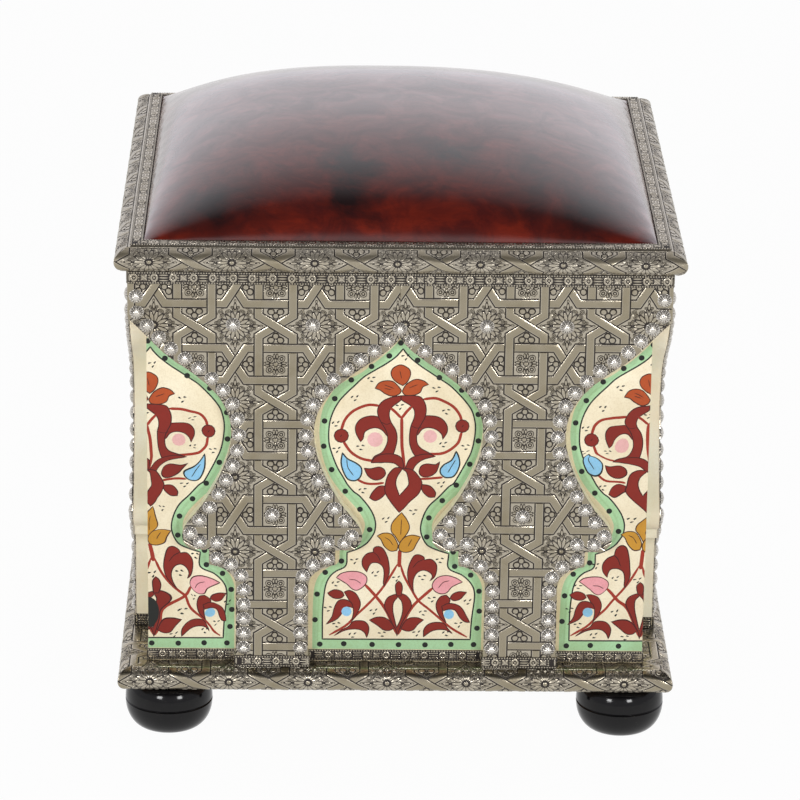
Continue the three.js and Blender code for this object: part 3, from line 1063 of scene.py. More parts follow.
@dataclass(frozen=True)
class PanelPaint(Finish):
    """The paints of the flower panels, under one coat of varnish."""

    name: str = "flower_paint"
    slot: Slot = Slot.PAINTED_WOOD

    def _surface(self, graph: Graph) -> Node:
        """The painted colours with the unevenness of a brush."""
        paint = graph.attribute("paint", "Color")
        darker = graph.mix(1.0, paint, srgb(205, 190, 160), "MULTIPLY")
        inputs, height = self._by_hand(graph, paint, darker, 0.5, 0.42)
        varnish = {"Specular IOR Level": 0.3, "Coat Weight": 0.1, "Coat Roughness": 0.2}
        return graph.surface({**inputs, **varnish}, height, 0.2, 0.0001)


@dataclass(frozen=True)
class Lacquer(Finish):
    """Thick black gloss lacquer over turned wood."""

    name: str = "gloss_black_lacquer"
    slot: Slot = Slot.BLACK_LACQUER

    def _surface(self, graph: Graph) -> Node:
        """Near black, with dust and faint turning marks."""
        place = graph.place()
        cloud = graph.noise(place, 60.0, 4.0, 0.6)
        rings = graph.noise(graph.place((30.0, 30.0, 700.0)), 1.0, 3.0, 0.6)
        dust = graph.spread(graph.noise(place, 1100.0, 2.0, 0.5), 0.68, 0.85)
        base = graph.mix(graph.spread(cloud, 0.3, 0.8), srgb(6, 6, 7), srgb(18, 16, 17))
        base = graph.mix(graph.math("MULTIPLY", dust, 0.5), base, srgb(90, 86, 84))
        rough = graph.spread(cloud, 0.3, 0.8, 0.08, 0.16)
        inputs = {"Base Color": base, "Roughness": rough, "Specular IOR Level": 0.26}
        return graph.surface(inputs, rings, 0.12, 0.0003)


@dataclass(frozen=True)
class BareWood(Finish):
    """Plain planed softwood."""

    name: str = "planed_softwood"
    slot: Slot = Slot.BARE_WOOD

    def _surface(self, graph: Graph) -> Node:
        """Grain along the board."""
        wave = graph.noise(graph.place((2.0, 26.0, 26.0)), 2.2, 6.0, 0.5, 1.1)
        pores = graph.noise(graph.place((60.0, 900.0, 900.0)), 1.0, 3.0, 0.6)
        base = graph.mix(graph.spread(wave, 0.35, 0.65), srgb(196, 155, 106), srgb(150, 108, 66))
        inputs, _ = self._by_hand(graph, base, srgb(110, 78, 48), 0.35, 0.62)
        return graph.surface(inputs, pores, 0.3, 0.0003)


@dataclass(frozen=True)
class Leather(Finish):
    """Oiled dark red leather, nearly black in clouds and at the stains: x, y, z and radius in metres."""

    name: str = "oiled_dark_leather"
    slot: Slot = Slot.DARK_LEATHER
    red: tuple = srgb(110, 32, 18)
    deep: tuple = srgb(70, 16, 12)
    black: tuple = srgb(20, 9, 11)
    stains: tuple[tuple[float, float, float, float], ...] = (
        (-0.151, -0.172, 0.444, 0.05), (-0.046, -0.181, 0.447, 0.025), (-0.04, -0.15, 0.464, 0.03),
        (0.105, -0.162, 0.453, 0.045), (0.148, -0.168, 0.445, 0.055), (0.03, -0.13, 0.471, 0.032),
    )

    def _surface(self, graph: Graph) -> Node:
        """Mottled colour, pores, creases and a waxed gloss."""
        place = graph.place()
        cloud = graph.noise(place, 7.5, 6.0, 0.6, 0.5)
        mottle = graph.noise(place, 30.0, 5.0, 0.65, 0.8)
        streak = graph.noise(graph.place((14.0, 60.0, 60.0)), 1.0, 5.0, 0.65, 0.6)
        base = graph.mix(graph.spread(mottle, 0.38, 0.62), self.red, self.deep)
        base = graph.mix(graph.spread(streak, 0.42, 0.62, 0.0, 0.5), base, self.deep)
        ragged = graph.math("MULTIPLY_ADD", graph.noise(place, 22.0, 6.0, 0.6, 0.3), 0.12, -0.06)
        dark = graph.spread(cloud, 0.56, 0.74, 0.0, 0.8)
        for x, y, z, radius in self.stains:
            apart = graph.add("ShaderNodeVectorMath", {0: place, 1: (x, y, z)}, operation="DISTANCE")
            apart = graph.math("ADD", apart.outputs["Value"], ragged)
            dark = graph.math("MAXIMUM", dark, graph.spread(apart, radius * 1.15, radius * 0.1, 0.0, 0.95))
        base = graph.mix(dark, base, self.black)
        vein = graph.math("SUBTRACT", graph.noise(graph.place((9.0, 22.0, 22.0)), 1.0, 2.0, 0.5, 1.5), 0.5)
        vein = graph.spread(graph.math("ABSOLUTE", vein), 0.0, 0.008, 1.0, 0.0)
        vein = graph.math("MULTIPLY", vein, graph.spread(cloud, 0.52, 0.44))
        pores = graph.add("ShaderNodeTexVoronoi", {"Vector": place, "Scale": 950.0}).outputs["Distance"]
        height = graph.math("ADD", graph.math("MULTIPLY", pores, 0.35), graph.noise(place, 420.0, 4.0, 0.6))
        height = graph.math("SUBTRACT", height, graph.math("MULTIPLY", vein, 1.2))
        wax = {"Coat Weight": 1.0, "Coat Roughness": 0.15, "Coat IOR": 1.52, "Specular IOR Level": 0.15}
        rough = graph.spread(mottle, 0.3, 0.7, 0.32, 0.46)
        return graph.surface({"Base Color": base, "Roughness": rough, **wax}, height, 0.16, 0.0004)


METAL = NickelSilver()
STUD_METAL = NickelSilver(
    "polished_nickel_silver", bright=srgb(214, 209, 200), field=srgb(204, 199, 190), dark=srgb(40, 32, 24),
    tarnish=srgb(180, 172, 156), gloss=0.15, metallic=0.8,
)
NOSE_METAL = NickelSilver("worn_nickel_silver", gloss=0.22)
SEAT_METAL = NickelSilver("bright_nickel_silver", gloss=0.22, metallic=0.65)
CREAM = PlainPaint()
# Cream paint of the fret boards' sawn edges, with yellow stains. It is set lighter than the box's cream paint
# as painted light, standing in for light that the lamps don't give the edges.
LIT_CREAM_EDGE = PlainPaint("yellowed_cream_paint_with_painted_light", Slot.CREAM_EDGE, srgb(254, 246, 222), srgb(238, 208, 150), 0.55)
FLOWERS = PanelPaint()
LACQUER = Lacquer()
WOOD = BareWood()
LEATHER = Leather()


# The sub-assemblies


@dataclass(frozen=True)
class Levels:
    """Sizes that several sub-assemblies share, read from the solid model where it has them."""

    pillar_centre: float = 100.25
    stem_half: float = 29.2
    fret_back: float = 200.8
    fret_front: float = 213.5
    cladding_front: float = 214.4
    fret_bottom: float = 63.3
    fret_top: float = 399.7
    strip_gap: float = 0.3
    strip_thickness: float = 1.0
    strip_sink: float = 0.45
    strip_depth: float = 0.75
    mitre_relief: float = 0.2
    mitre_zone: float = 0.1

    @property
    def fret_height(self) -> float:
        """The height of the fretwork."""
        return self.fret_top - self.fret_bottom

    @property
    def spacing(self) -> float:
        """The distance between the middles of two pillars."""
        return 2 * self.pillar_centre

LEVELS = Levels()


def upright(points: np.ndarray, distance: float | np.ndarray) -> np.ndarray:
    """Points of a front view placed at a distance from the stool's axis."""
    return np.column_stack([points[:, 0], np.broadcast_to(-np.asarray(distance), len(points)), points[:, 1]])


def embossed(
    outline: np.ndarray, marks: list[Mark], lay_face: Callable, lay_back: Callable,
    ribs: Iterable[np.ndarray] = (), ground: float = 0.0,
) -> Shape:
    """A metal sheet with marks struck into it.

    Args:
        outline: The edge of the sheet in its own plane.
        marks: The marks, in the order in which they are struck.
        lay_face: Gives the places of the face from its points and their heights.
        lay_back: Gives the places of the back from its points.
        ribs: Lines along which the sheet bends.
        ground: The height of the metal between the marks.

    Returns:
        The sheet, with its relief.
    """
    plate = Plate(outline, [line for mark in marks for line in mark.lines()], ribs)
    heights = np.full(len(plate.points), ground)
    for mark in marks:
        mark.strike(plate.points, heights)
    back = lay_back(plate.back_points)
    corners, faces = plate.solid(lay_face(plate.points, heights), back)
    return Shape(corners, faces, np.concatenate([heights, np.zeros(len(back))]))

@dataclass(frozen=True)
class FretLine:
    """The cut edge of a pillar, in shares of the pillar spacing and of the fret's height."""

    stem_height: float = 0.21
    ledge_foot: Pair = (0.253, 0.264)
    ledge_head: Pair = (0.253, 0.3015)
    nose: Pair = (0.315, 0.3015)
    neck: Pair = (0.36, 0.338)
    flank: Pair = (0.2905, 0.4065)
    waist: Pair = (0.164, 0.5965)
    spring: Pair = (0.39, 0.7795)
    arch_height: float = 0.8405
    corner_arch_height: float = 0.882
    steps: int = 3

    def _edge(self, tip: Pair, tip_shares: tuple[Pair, Pair]) -> np.ndarray:
        """One edge of a pillar from its foot up.

        Args:
            tip: Where it ends, as a distance and a share of the height.
            tip_shares: The control points of its last curve.

        Returns:
            Distances from the pillar's middle and heights.
        """
        def turn(shares: Pair) -> np.ndarray:
            """A turn of the edge in millimetres."""
            return np.array([shares[0] * LEVELS.spacing, shares[1] * LEVELS.fret_height])
        height = LEVELS.fret_height
        points = np.array([[LEVELS.stem_half, 0.0], [LEVELS.stem_half, height * self.stem_height]])
        for end, shares, count in (
            (turn(self.ledge_foot), ((0, 0.62), (0.55, 0.88)), 3),
            (turn(self.ledge_head), None, 1),
            (turn(self.nose), None, 1),
            (turn(self.neck), ((0.55, 0.15), (1, 0.46)), 3),
            (turn(self.flank), ((0, 0.3), (0.36, 0.52)), 2),
            (turn(self.waist), ((0.47, 0.27), (1, 0.67)), 3),
            (turn(self.spring), ((0, 0.49), (0.47, 0.73)), 6),
            (np.array([tip[0], tip[1] * height]), tip_shares, 3),
        ):
            piece = end[None] if shares is None else bezier(points[-1], end, shares, count * self.steps)
            points = np.vstack([points, piece])
        return points

    def edges(self) -> tuple[np.ndarray, np.ndarray]:
        """The edge towards the whole arch and the one towards the corner."""
        arch = self._edge((LEVELS.pillar_centre, self.arch_height), ((0.35, 0.26), (0.78, 0.62)))
        reach = LEVELS.cladding_front - LEVELS.pillar_centre
        corner = self._edge((reach, self.corner_arch_height), ((0.35, 0.26), (0.66, 0.7)))
        return arch, corner

    def half_outline(self, sign: int) -> np.ndarray:
        """The outline of one half of the fret, from the middle to a corner of the stool.

        Args:
            sign: 1 for the right half, -1 for the left one.

        Returns:
            The closed outline.
        """
        arch, corner = self.edges()
        inner = np.column_stack([LEVELS.pillar_centre - arch[:, 0], arch[:, 1]])
        outer = np.column_stack([LEVELS.pillar_centre + corner[:, 0], corner[:, 1]])
        top = np.array([[LEVELS.cladding_front, LEVELS.fret_height], [0.0, LEVELS.fret_height]])
        points = np.vstack([outer, top, inner[::-1]])
        points[:, 1] += LEVELS.fret_bottom
        return points * np.array([sign, 1])

    def outline(self) -> np.ndarray:
        """The outline of the whole fret, anticlockwise."""
        right = self.half_outline(1)
        middle = len(self.edges()[1]) + 2
        without_middle = np.vstack([right[:middle - 1], right[middle:]])
        arch = len(self.edges()[0])
        outer, inner = without_middle[:-arch], without_middle[-arch:]
        mirror = np.array([-1, 1])
        left_outer, left_inner = outer[::-1] * mirror, inner[::-1] * mirror
        return np.vstack([outer, left_outer, left_inner, inner[1:]])


FRET_LINE = FretLine()


@dataclass(frozen=True)
class StudCrop:
    """The fluted dome nails that hold the cladding. Each ring has a radius, a height and a depth of flute."""

    flutes: int = 14
    per_flute: int = 4
    rings: tuple[tuple[float, float, float], ...] = (
        (5.9, 0.0, 0.0), (5.8, 0.3, 0.0), (5.5, 0.75, 0.6), (4.9, 1.5, 0.9), (4.0, 2.1, 0.9),
        (2.9, 2.55, 0.7), (2.0, 2.75, 0.3), (1.6, 2.75, 0.0), (1.2, 3.0, 0.0), (0.7, 3.15, 0.0),
    )
    crown: float = 3.2
    pull: float = 0.5
    sink: float = 0.7
    # The lowest rings take the dark hollow colour: a painted shadow round the foot of each stud.
    shadow_rings: int = 2
    shine: Pair = (0.5, 0.6)
    shade: float = 0.9
    turn: float = 37.0
    spread: float = 6.0
    flat: float = 0.05

    def _one(self) -> Shape:
        """A stud at the origin of the front view, its foot at no distance."""
        count = self.per_flute * self.flutes
        angles = 2 * math.pi * np.arange(count) / count
        depths = (0.5 - 0.5 * np.cos(self.flutes * angles)) ** 2
        layers, relief = [], []
        for k, (radius, rise, flute) in enumerate(self.rings):
            depth = depths * flute
            pulled = radius - self.pull * depth
            x, y, z = pulled * np.cos(angles), self.sink * depth - rise, pulled * np.sin(angles)
            layers.append(np.column_stack([x, y, z]))
            # Painted shade and shine: deeper flute valleys are coloured darker and the crown a little
            # lighter, and the foot rings are coloured dark as the stud's shadow on the sheet.
            shine = self.shine[0] - self.shade * depth
            relief.append(np.full(count, METAL.hollow) if k < self.shadow_rings else shine)
        last = (len(self.rings) - 1) * count
        faces = [face for low in range(0, last, count) for face in band(low, low + count, count)]
        faces += [(last + i, last + (i + 1) % count, last + count) for i in range(count)]
        faces.append(tuple(range(count))[::-1])
        corners = np.vstack([*layers, [[0.0, -self.crown, 0.0]]])
        return Shape(corners, faces, np.concatenate([*relief, [self.shine[1]]]))

    def _places(self, node: str) -> list[np.ndarray]:
        """Where the solid model has its studs.

        Args:
            node: The node that carries the studs of the front.

        Returns:
            Each stud's x and z.
        """
        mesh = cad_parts[node].data
        points = np.empty(len(mesh.vertices) * 3)
        mesh.vertices.foreach_get("co", points)
        points = points.reshape(-1, 3) / MM
        crowns = points[points[:, 1] < points[:, 1].min() + self.flat][:, ::2]
        places: list[np.ndarray] = []
        while len(crowns):
            near = np.linalg.norm(crowns - crowns[0], axis=1) < self.spread
            places.append((crowns[near].min(axis=0) + crowns[near].max(axis=0)) / 2)
            crowns = crowns[~near]
        return places

    def build(self) -> None:
        """Makes the studs of each side as one piece, every one turned a little further."""
        stud = self._one()
        copies = []
        for i, (x, z) in enumerate(self._places("fret_cladding_front")):
            corners = stud.corners.copy()
            corners[:, ::2] = turned(corners[:, ::2], self.turn * i)
            copies.append(replace(stud, corners=corners).placed((x, -LEVELS.cladding_front, z)))
        log.info("%d studs a side", len(copies))
        add_round("studs", joined(copies), STUD_METAL, sharp=40.0)


@dataclass
class Fretwork:
    """The fret boards, their embossed sheets and studs, and the border strips on them."""

    lattice: Lattice = Lattice()
    left_origin: Pair = (-34.0, 323.0)
    right_origin: Pair = (36.0, 325.0)
    sheet_back: float = 213.6
    ground: float = 214.2
    dent: float = 0.1
    seam: float = 0.12
    edge_round: float = 0.5
    top_strip: Pair = (389.6, 399.7)
    strip_foot: float = 63.05
    pillar_strip_height: float = 9.75
    pillar_strip_shift: float = 4.0
    wrap_gap: float = 0.15
    wrap_depth: float = 12.5
    wrap_overlap: float = 0.1
    panel_strip_height: float = 9.55

    def build(self) -> None:
        """Makes all pieces of the fretwork."""
        add_round("fret_edge", self._board(), LIT_CREAM_EDGE, "fret_board_*", 30.0)
        add_round("embossed_sheet", self._sheet(), METAL, "fret_cladding_*")
        StudCrop().build()
        self._strips()

    def _board(self) -> Shape:
        """The sawn board, mitred at the corners, with its front arris eased."""
        outline = FRET_LINE.outline()
        normals = normals_of(outline, True)
        layers = []
        front = LEVELS.fret_front
        for distance, inset in (
            (LEVELS.fret_back, 0.0), (front - self.edge_round, 0.0), (front, self.edge_round),
        ):
            points = outline + normals * inset
            reach = distance - LEVELS.mitre_relief
            points[:, 0] = np.clip(points[:, 0], -reach, reach)
            layers.append(upright(points, distance))
        plate = Plate(outline, [])
        count = len(outline)
        gaps = np.linalg.norm(plate.points[:, None] - outline[None], axis=2)
        cut = np.argmin(gaps, axis=1)[plate.triangles]
        faces = [tuple(tri) for tri in (cut + 2 * count).tolist() + cut[:, ::-1].tolist()]
        return Shape(np.vstack(layers), faces + band(0, count, count) + band(count, 2 * count, count))

    def _sheet(self) -> Shape:
        """The two embossed sheets of a side, which meet over the middle of the arch."""
        halves = []
        reach = LEVELS.cladding_front - LEVELS.mitre_relief
        for sign, origin in ((-1, self.left_origin), (1, self.right_origin)):
            outline = FRET_LINE.half_outline(sign)
            outline[np.abs(outline[:, 0]) < self.seam, 0] = sign * self.seam
            outline[:, 0] = np.clip(outline[:, 0], -reach, reach)
            halves.append(embossed(
                outline, self.lattice.marks(outline, origin),
                lambda points, heights: upright(points, self.ground + heights + dented(points, self.dent)),
                lambda points: upright(points, self.sheet_back),
            ))
        return joined(halves)

    def _strips(self) -> None:
        """The border strips along the top and at the feet of pillars and panels."""
        back = LEVELS.cladding_front + LEVELS.strip_gap
        shape = border_strip(2 * LEVELS.cladding_front, self.top_strip, back, ENDS)
        add_round("top_strip", shape, METAL, "top_border_*")
        levels = (self.strip_foot, self.strip_foot + self.pillar_strip_height)
        reach = LEVELS.stem_half + self.wrap_gap
        inward = (0, self.wrap_overlap + self.wrap_depth / 2 - back, 0)
        wrap = border_strip(self.wrap_depth, levels, reach)
        wraps = [wrap.quarter_turned(turns).placed(inward) for turns in (1, 3)]
        for hand, sign in HANDS:
            front = border_strip(
                2 * (reach + LEVELS.strip_thickness), levels, back, shift=self.pillar_strip_shift * sign,
            )
            shape = joined([front, *wraps]).placed((sign * LEVELS.pillar_centre, 0, 0))
            add_round(f"pillar_strip_{hand}", shape, METAL, f"pillar_foot_border_*_{hand}")
        levels = (self.strip_foot, self.strip_foot + self.panel_strip_height)
        width = 2 * (LEVELS.pillar_centre - LEVELS.stem_half - LEVELS.strip_gap)
        add_round("panel_strip", border_strip(width, levels, LEVELS.fret_back), METAL, "panel_foot_border_*")
        start = LEVELS.pillar_centre + LEVELS.stem_half + LEVELS.strip_gap
        end = LEVELS.fret_back + LEVELS.strip_thickness
        arms = []
        for turns, sign in ((0, 1), (1, -1)):
            arm = border_strip(end - start, levels, LEVELS.fret_back, (sign,))
            arms.append(arm.placed((sign * (start + end) / 2, 0, 0)).quarter_turned(turns))
        add_round("corner_strip", joined(arms), METAL, "corner_foot_border_*")


def border_strip(
    length: float, levels: Pair, back: float, mitres: Iterable[int] = (), shift: float = 0.0,
) -> Shape:
    """A beaded border strip on the front of the stool, centred on the stool's axis.

    Args:
        length: Its length at its front.
        levels: The levels of its lower and upper edge.
        back: The distance of its back from the stool's axis.
        mitres: The ends that are mitred, -1 for the left one and 1 for the right one.
        shift: How far its pattern is shifted along it.

    Returns:
        The strip.
    """
    half, rise, middle = length / 2, (levels[1] - levels[0]) / 2, (levels[0] + levels[1]) / 2
    outline = np.array([[-half, -rise], [half, -rise], [half, rise], [-half, rise]])
    front = back + LEVELS.strip_thickness - LEVELS.strip_sink

    def lay_back(points: np.ndarray) -> np.ndarray:
        """The back, drawn in at the mitred ends."""
        places = upright(points + (0, middle), back)
        for sign in mitres:
            places[places[:, 0] * sign > half - LEVELS.mitre_zone, 0] -= sign * LEVELS.strip_thickness
        return places

    return embossed(
        outline, Braid(2 * rise).marks(length, shift),
        lambda points, heights: upright(points + (0, middle), front + LEVELS.strip_depth * heights),
        lay_back, ground=Braid.ground,
    )


@dataclass(frozen=True)
class Nose:
    """The moulded edge of a board: an upper and a lower quarter oval with flat margins."""

    half: float
    bottom: float
    top: float
    top_run: float
    under_run: float
    top_inner: float
    under_inner: float
    steps: int = 60
    probe: float = 0.4

    def section(self) -> np.ndarray:
        """The outer surface from the lower margin to the upper one, as distance and height."""
        middle = (self.bottom + self.top) / 2
        rise = (self.top - self.bottom) / 2
        angles = np.linspace(-math.pi / 2, math.pi / 2, 2 * self.steps + 1)
        run = np.where(angles < 0, self.under_run, self.top_run)
        curve = np.column_stack([self.half - run + run * np.cos(angles), middle + rise * np.sin(angles)])
        return np.vstack([[[self.under_inner, self.bottom]], curve, [[self.top_inner, self.top]]])

    def girth(self) -> np.ndarray:
        """The way along the section at each of its points, zero at the widest one."""
        way = np.concatenate([[0.0], np.cumsum(np.linalg.norm(np.diff(self.section(), axis=0), axis=1))])
        return way - way[self.steps + 1]

    def wrap(self, points: np.ndarray, raised: float | np.ndarray) -> np.ndarray:
        """Lays points of run and girth round the nose on the front of the stool.

        Args:
            points: Run and girth of each point.
            raised: How far each one stands off the surface.

        Returns:
            The places of the points.
        """
        section, girth = self.section(), self.girth()
        here, ahead, behind = (
            np.column_stack([np.interp(points[:, 1] + step, girth, section[:, axis]) for axis in (0, 1)])
            for step in (0.0, self.probe, -self.probe)
        )
        along = ahead - behind
        along /= np.hypot(along[:, 0], along[:, 1])[:, None] + TINY
        outward = here + np.column_stack([along[:, 1] * raised, -along[:, 0] * raised])
        return np.column_stack([points[:, 0], -outward[:, 0], outward[:, 1]])

    def _edge(self, low: float, high: float, relief: float, step: float) -> np.ndarray:
        """The right end of a mitred sheet.

        Args:
            low: The girth at its lower edge.
            high: The girth at its upper edge.
            relief: How far it stays back from the mitre.
            step: The longest way between two of its points.

        Returns:
            Points of run and girth.
        """
        levels = np.linspace(low, high, max(2, math.ceil((high - low) / step)) + 1)
        return np.column_stack([np.interp(levels, self.girth(), self.section()[:, 0]) - relief, levels])

    def outline(self, low: float, high: float, relief: float, step: float = 1.5) -> np.ndarray:
        """The mitred outline in run and girth between two girths."""
        right = self._edge(low, high, relief, step)
        return np.vstack([right, (right * (-1, 1))[::-1]])

    def ribs(self, low: float, high: float, step: float = 1.5) -> list[np.ndarray]:
        """Level lines along which a sheet bends round the nose."""
        inner = self._edge(low, high, LEVELS.mitre_relief, step)[1:-1]
        return [np.array([[-reach, level], [reach, level]]) for reach, level in inner]


@dataclass
class Moulding:
    """Four mitred lengths of embossed metal round a board's nose, with or without a fold above."""

    name: str
    nose: Nose
    shift: float
    fold: float | None = None
    lattice: Lattice = Lattice()
    finish: NickelSilver = NOSE_METAL
    back: float = 0.88
    sink: float = 0.62
    depth: float = 0.6
    dent: float = 0.02
    overrun: Pair = (5.0, 4.0)
    fold_section: tuple[Pair, ...] = (
        (-1.1, 0.25), (-0.9, 0.45), (-0.3, 0.4), (-0.1, -0.2), (0.4, -0.2), (0.6, 0.0),
    )

    def _fold(self, high: float, reach: float) -> Strap:
        """The plain margin above the fold, as one broad strap that runs off the sheet.

        Args:
            high: The girth at the sheet's upper edge.
            reach: The sheet's half length.

        Returns:
            The strap.
        """
        half = (high - self.fold) / 2 + self.overrun[1]
        edge = tuple((half + place, height) for place, height in self.fold_section)
        level, end = self.fold + half, reach + self.overrun[0]
        return Strap((-end, level), (end, level), section=((0, edge[0][1]), *edge))

    def build(self) -> None:
        """Makes the four mouldings."""
        low, high = self.nose.girth()[[0, -1]].tolist()
        outline = self.nose.outline(low, high, LEVELS.mitre_relief)
        marks = self.lattice.marks(outline, (self.shift, -self.lattice.repeat / 2))
        if self.fold is not None:
            marks.append(self._fold(high, float(outline[:, 0].max())))

        def lay_face(points: np.ndarray, heights: np.ndarray) -> np.ndarray:
            """The face, sunk so that its highest marks stay inside the moulding's size."""
            return self.nose.wrap(points, self.depth * heights - self.sink + dented(points, self.dent))

        def lay_back(points: np.ndarray) -> np.ndarray:
            """The back, against the board's nose."""
            return self.nose.wrap(points, -self.back)

        sheet = embossed(outline, marks, lay_face, lay_back, self.nose.ribs(low, high))
        add_round(f"embossed_{self.name}", sheet, self.finish, f"{self.name}_*")


PLINTH_NOSE = Nose(225.0, 43.0, 63.0, 10.0, 10.0, 200.8, 214.0)
SEAT_NOSE = Nose(225.0, 400.0, 421.0, 22.0, 10.5, 202.3, 200.8)


@dataclass
class Base:
    """The turned feet and the plinth's mouldings."""

    foot_centre: float = 184.6
    height: float = 43.6
    radius: float = 35.6
    base_radius: float = 20.0
    groove_height: float = 23.5
    groove_half: float = 1.0
    groove_depth: float = 0.9
    groove_shares: tuple[float, ...] = (-0.55, 0.0, 0.55)
    shoulder_radius: float = 28.0
    collar_radius: float = 24.0
    collar_height: float = 2.2
    collar_fillet: float = 0.4
    bore_radius: float = 6.3
    bore_depth: float = 13.3
    arc_steps: int = 12
    segments: int = 96

    def _profile(self) -> np.ndarray:
        """The foot's outline from the middle of its sole, round it and into its bore."""
        low, high = self.groove_height - self.groove_half, self.groove_height + self.groove_half
        shoulder = self.height - self.collar_height
        belly, shrink = self.radius - self.base_radius, self.radius - self.shoulder_radius
        turns = [math.pi / 2 * i / self.arc_steps for i in range(self.arc_steps + 1)]
        points = [(0.0, 0.0), (self.base_radius, 0.0)]
        points += [(self.base_radius + belly * math.sin(a), low * (1 - math.cos(a))) for a in turns[1:]]
        for share in self.groove_shares:
            depth = self.groove_depth * (1 - share * share)
            points.append((self.radius - depth, self.groove_height + share * self.groove_half))
        rise = shoulder - high
        points += [(self.shoulder_radius + shrink * math.cos(a), high + rise * math.sin(a)) for a in turns]
        collar, fillet, bore = self.collar_radius, self.collar_fillet, self.bore_radius
        points += [(collar + fillet, shoulder), (collar, shoulder + fillet), (collar, self.height)]
        bottom = self.height - self.bore_depth
        return np.array([*points, (bore, self.height), (bore, bottom), (0.0, bottom)])

    def _foot(self) -> Shape:
        """The turned foot about the Z axis."""
        profile, count = self._profile(), self.segments
        rings = [ring_of(radius, height, count) for radius, height in profile[1:-1]]
        corners = np.vstack([[[0.0, 0.0, profile[0, 1]]], *rings, [[0.0, 0.0, profile[-1, 1]]]])
        last = 1 + (len(rings) - 1) * count
        faces: Faces = []
        for i in range(count):
            j = (i + 1) % count
            faces += [(0, 1 + j, 1 + i), (last + i, last + j, len(corners) - 1)]
        for low in range(1, last, count):
            faces += band(low, low + count, count)
        return Shape(corners, faces)

    def build(self) -> None:
        """Makes the feet and the plinth's mouldings."""
        foot = self._foot()
        for depth_name, sign_y in (("front", -1), ("rear", 1)):
            for hand, sign_x in HANDS:
                shape = foot.placed((sign_x * self.foot_centre, sign_y * self.foot_centre, 0.0))
                name = f"{depth_name}_{hand}"
                add_piece(f"bun_foot_{name}", shape.mesh(f"bun_foot_{name}", 40.0), LACQUER, [f"foot_{name}"])
        Moulding("plinth_moulding", PLINTH_NOSE, 25.2).build()


class Paint(Enum):
    """The paints on the panels."""

    FIELD = srgb(243, 233, 205)
    BORDER = srgb(226, 217, 182)
    GREEN = srgb(172, 214, 168)
    GREEN_DEEP = srgb(162, 203, 157)
    BLACK = srgb(24, 28, 24)
    RED = srgb(132, 34, 20)
    RED_EDGE = srgb(64, 14, 12)
    BRICK = srgb(158, 50, 32)
    ORANGE = srgb(178, 78, 32)
    BROWN = srgb(60, 26, 14)
    BLUE = srgb(142, 200, 236)
    PINK = srgb(235, 164, 172)
    BLUSH = srgb(236, 186, 186)
    OCHRE = srgb(200, 147, 50)


class Stroke(Enum):
    """How a shape is laid down."""

    FILL = "fill"
    LINE = "line"
    DOT = "dot"


@dataclass(frozen=True)
class Touch:
    """One shape of the painting: a fill with or without an outline, a line, or round dots."""

    kind: Stroke
    paint: Paint
    points: str
    width: float = 0.0
    edge: Paint | None = None
    dot_corners: int = 12
    taper: Pair = (8.0, 0.45)
    heavy_edge: float = 1.2
    fine_edge: float = 0.8

    def areas(self) -> list[tuple[Paint, np.ndarray]]:
        """The closed outlines that it covers, with their paints, in the order of painting."""
        places = pairs(self.points)
        if self.kind is Stroke.DOT:
            circle = ring_of(self.width / 2, 0.0, self.dot_corners)[:, :2]
            return self._edged([circle + place for place in places])
        if self.kind is Stroke.LINE:
            line = smooth(places, False)
            share = np.linspace(0, 1, len(line))
            taper = np.clip(np.minimum(share, 1 - share) * self.taper[0] + self.taper[1], 0, 1)
            side = normals_of(line, False) * taper[:, None] * self.width / 2
            return [(self.paint, np.vstack([line + side, (line - side)[::-1]]))]
        return self._edged([smooth(places, True)])

    def _edged(self, outlines: list[np.ndarray]) -> list[tuple[Paint, np.ndarray]]:
        """Outlines with the touch's own paint inside a line of its edge paint.

        Args:
            outlines: The closed outlines.

        Returns:
            The paints with the areas that they cover.
        """
        if self.edge is None:
            return [(self.paint, outline) for outline in outlines]
        areas = []
        line = self.heavy_edge if self.edge is Paint.BLACK else self.fine_edge
        for outline in outlines:
            inward = normals_of(outline, True) * (1 if signed_area(outline) > 0 else -1)
            areas.append((self.edge, outline - inward * line / 2))
            areas.append((self.paint, outline + inward * line / 2))
        return areas


def fills(paint: Paint, edge: Paint | None, *shapes: str) -> list[Touch]:
    """Filled shapes."""
    return [Touch(Stroke.FILL, paint, points, 0.0, edge) for points in shapes]


def lines(paint: Paint, width: float, *runs: str) -> list[Touch]:
    """Brush lines."""
    return [Touch(Stroke.LINE, paint, points, width) for points in runs]


def dots(paint: Paint, size: float, points: str, edge: Paint | None = None) -> Touch:
    """Round dots."""
    return Touch(Stroke.DOT, paint, points, size, edge)


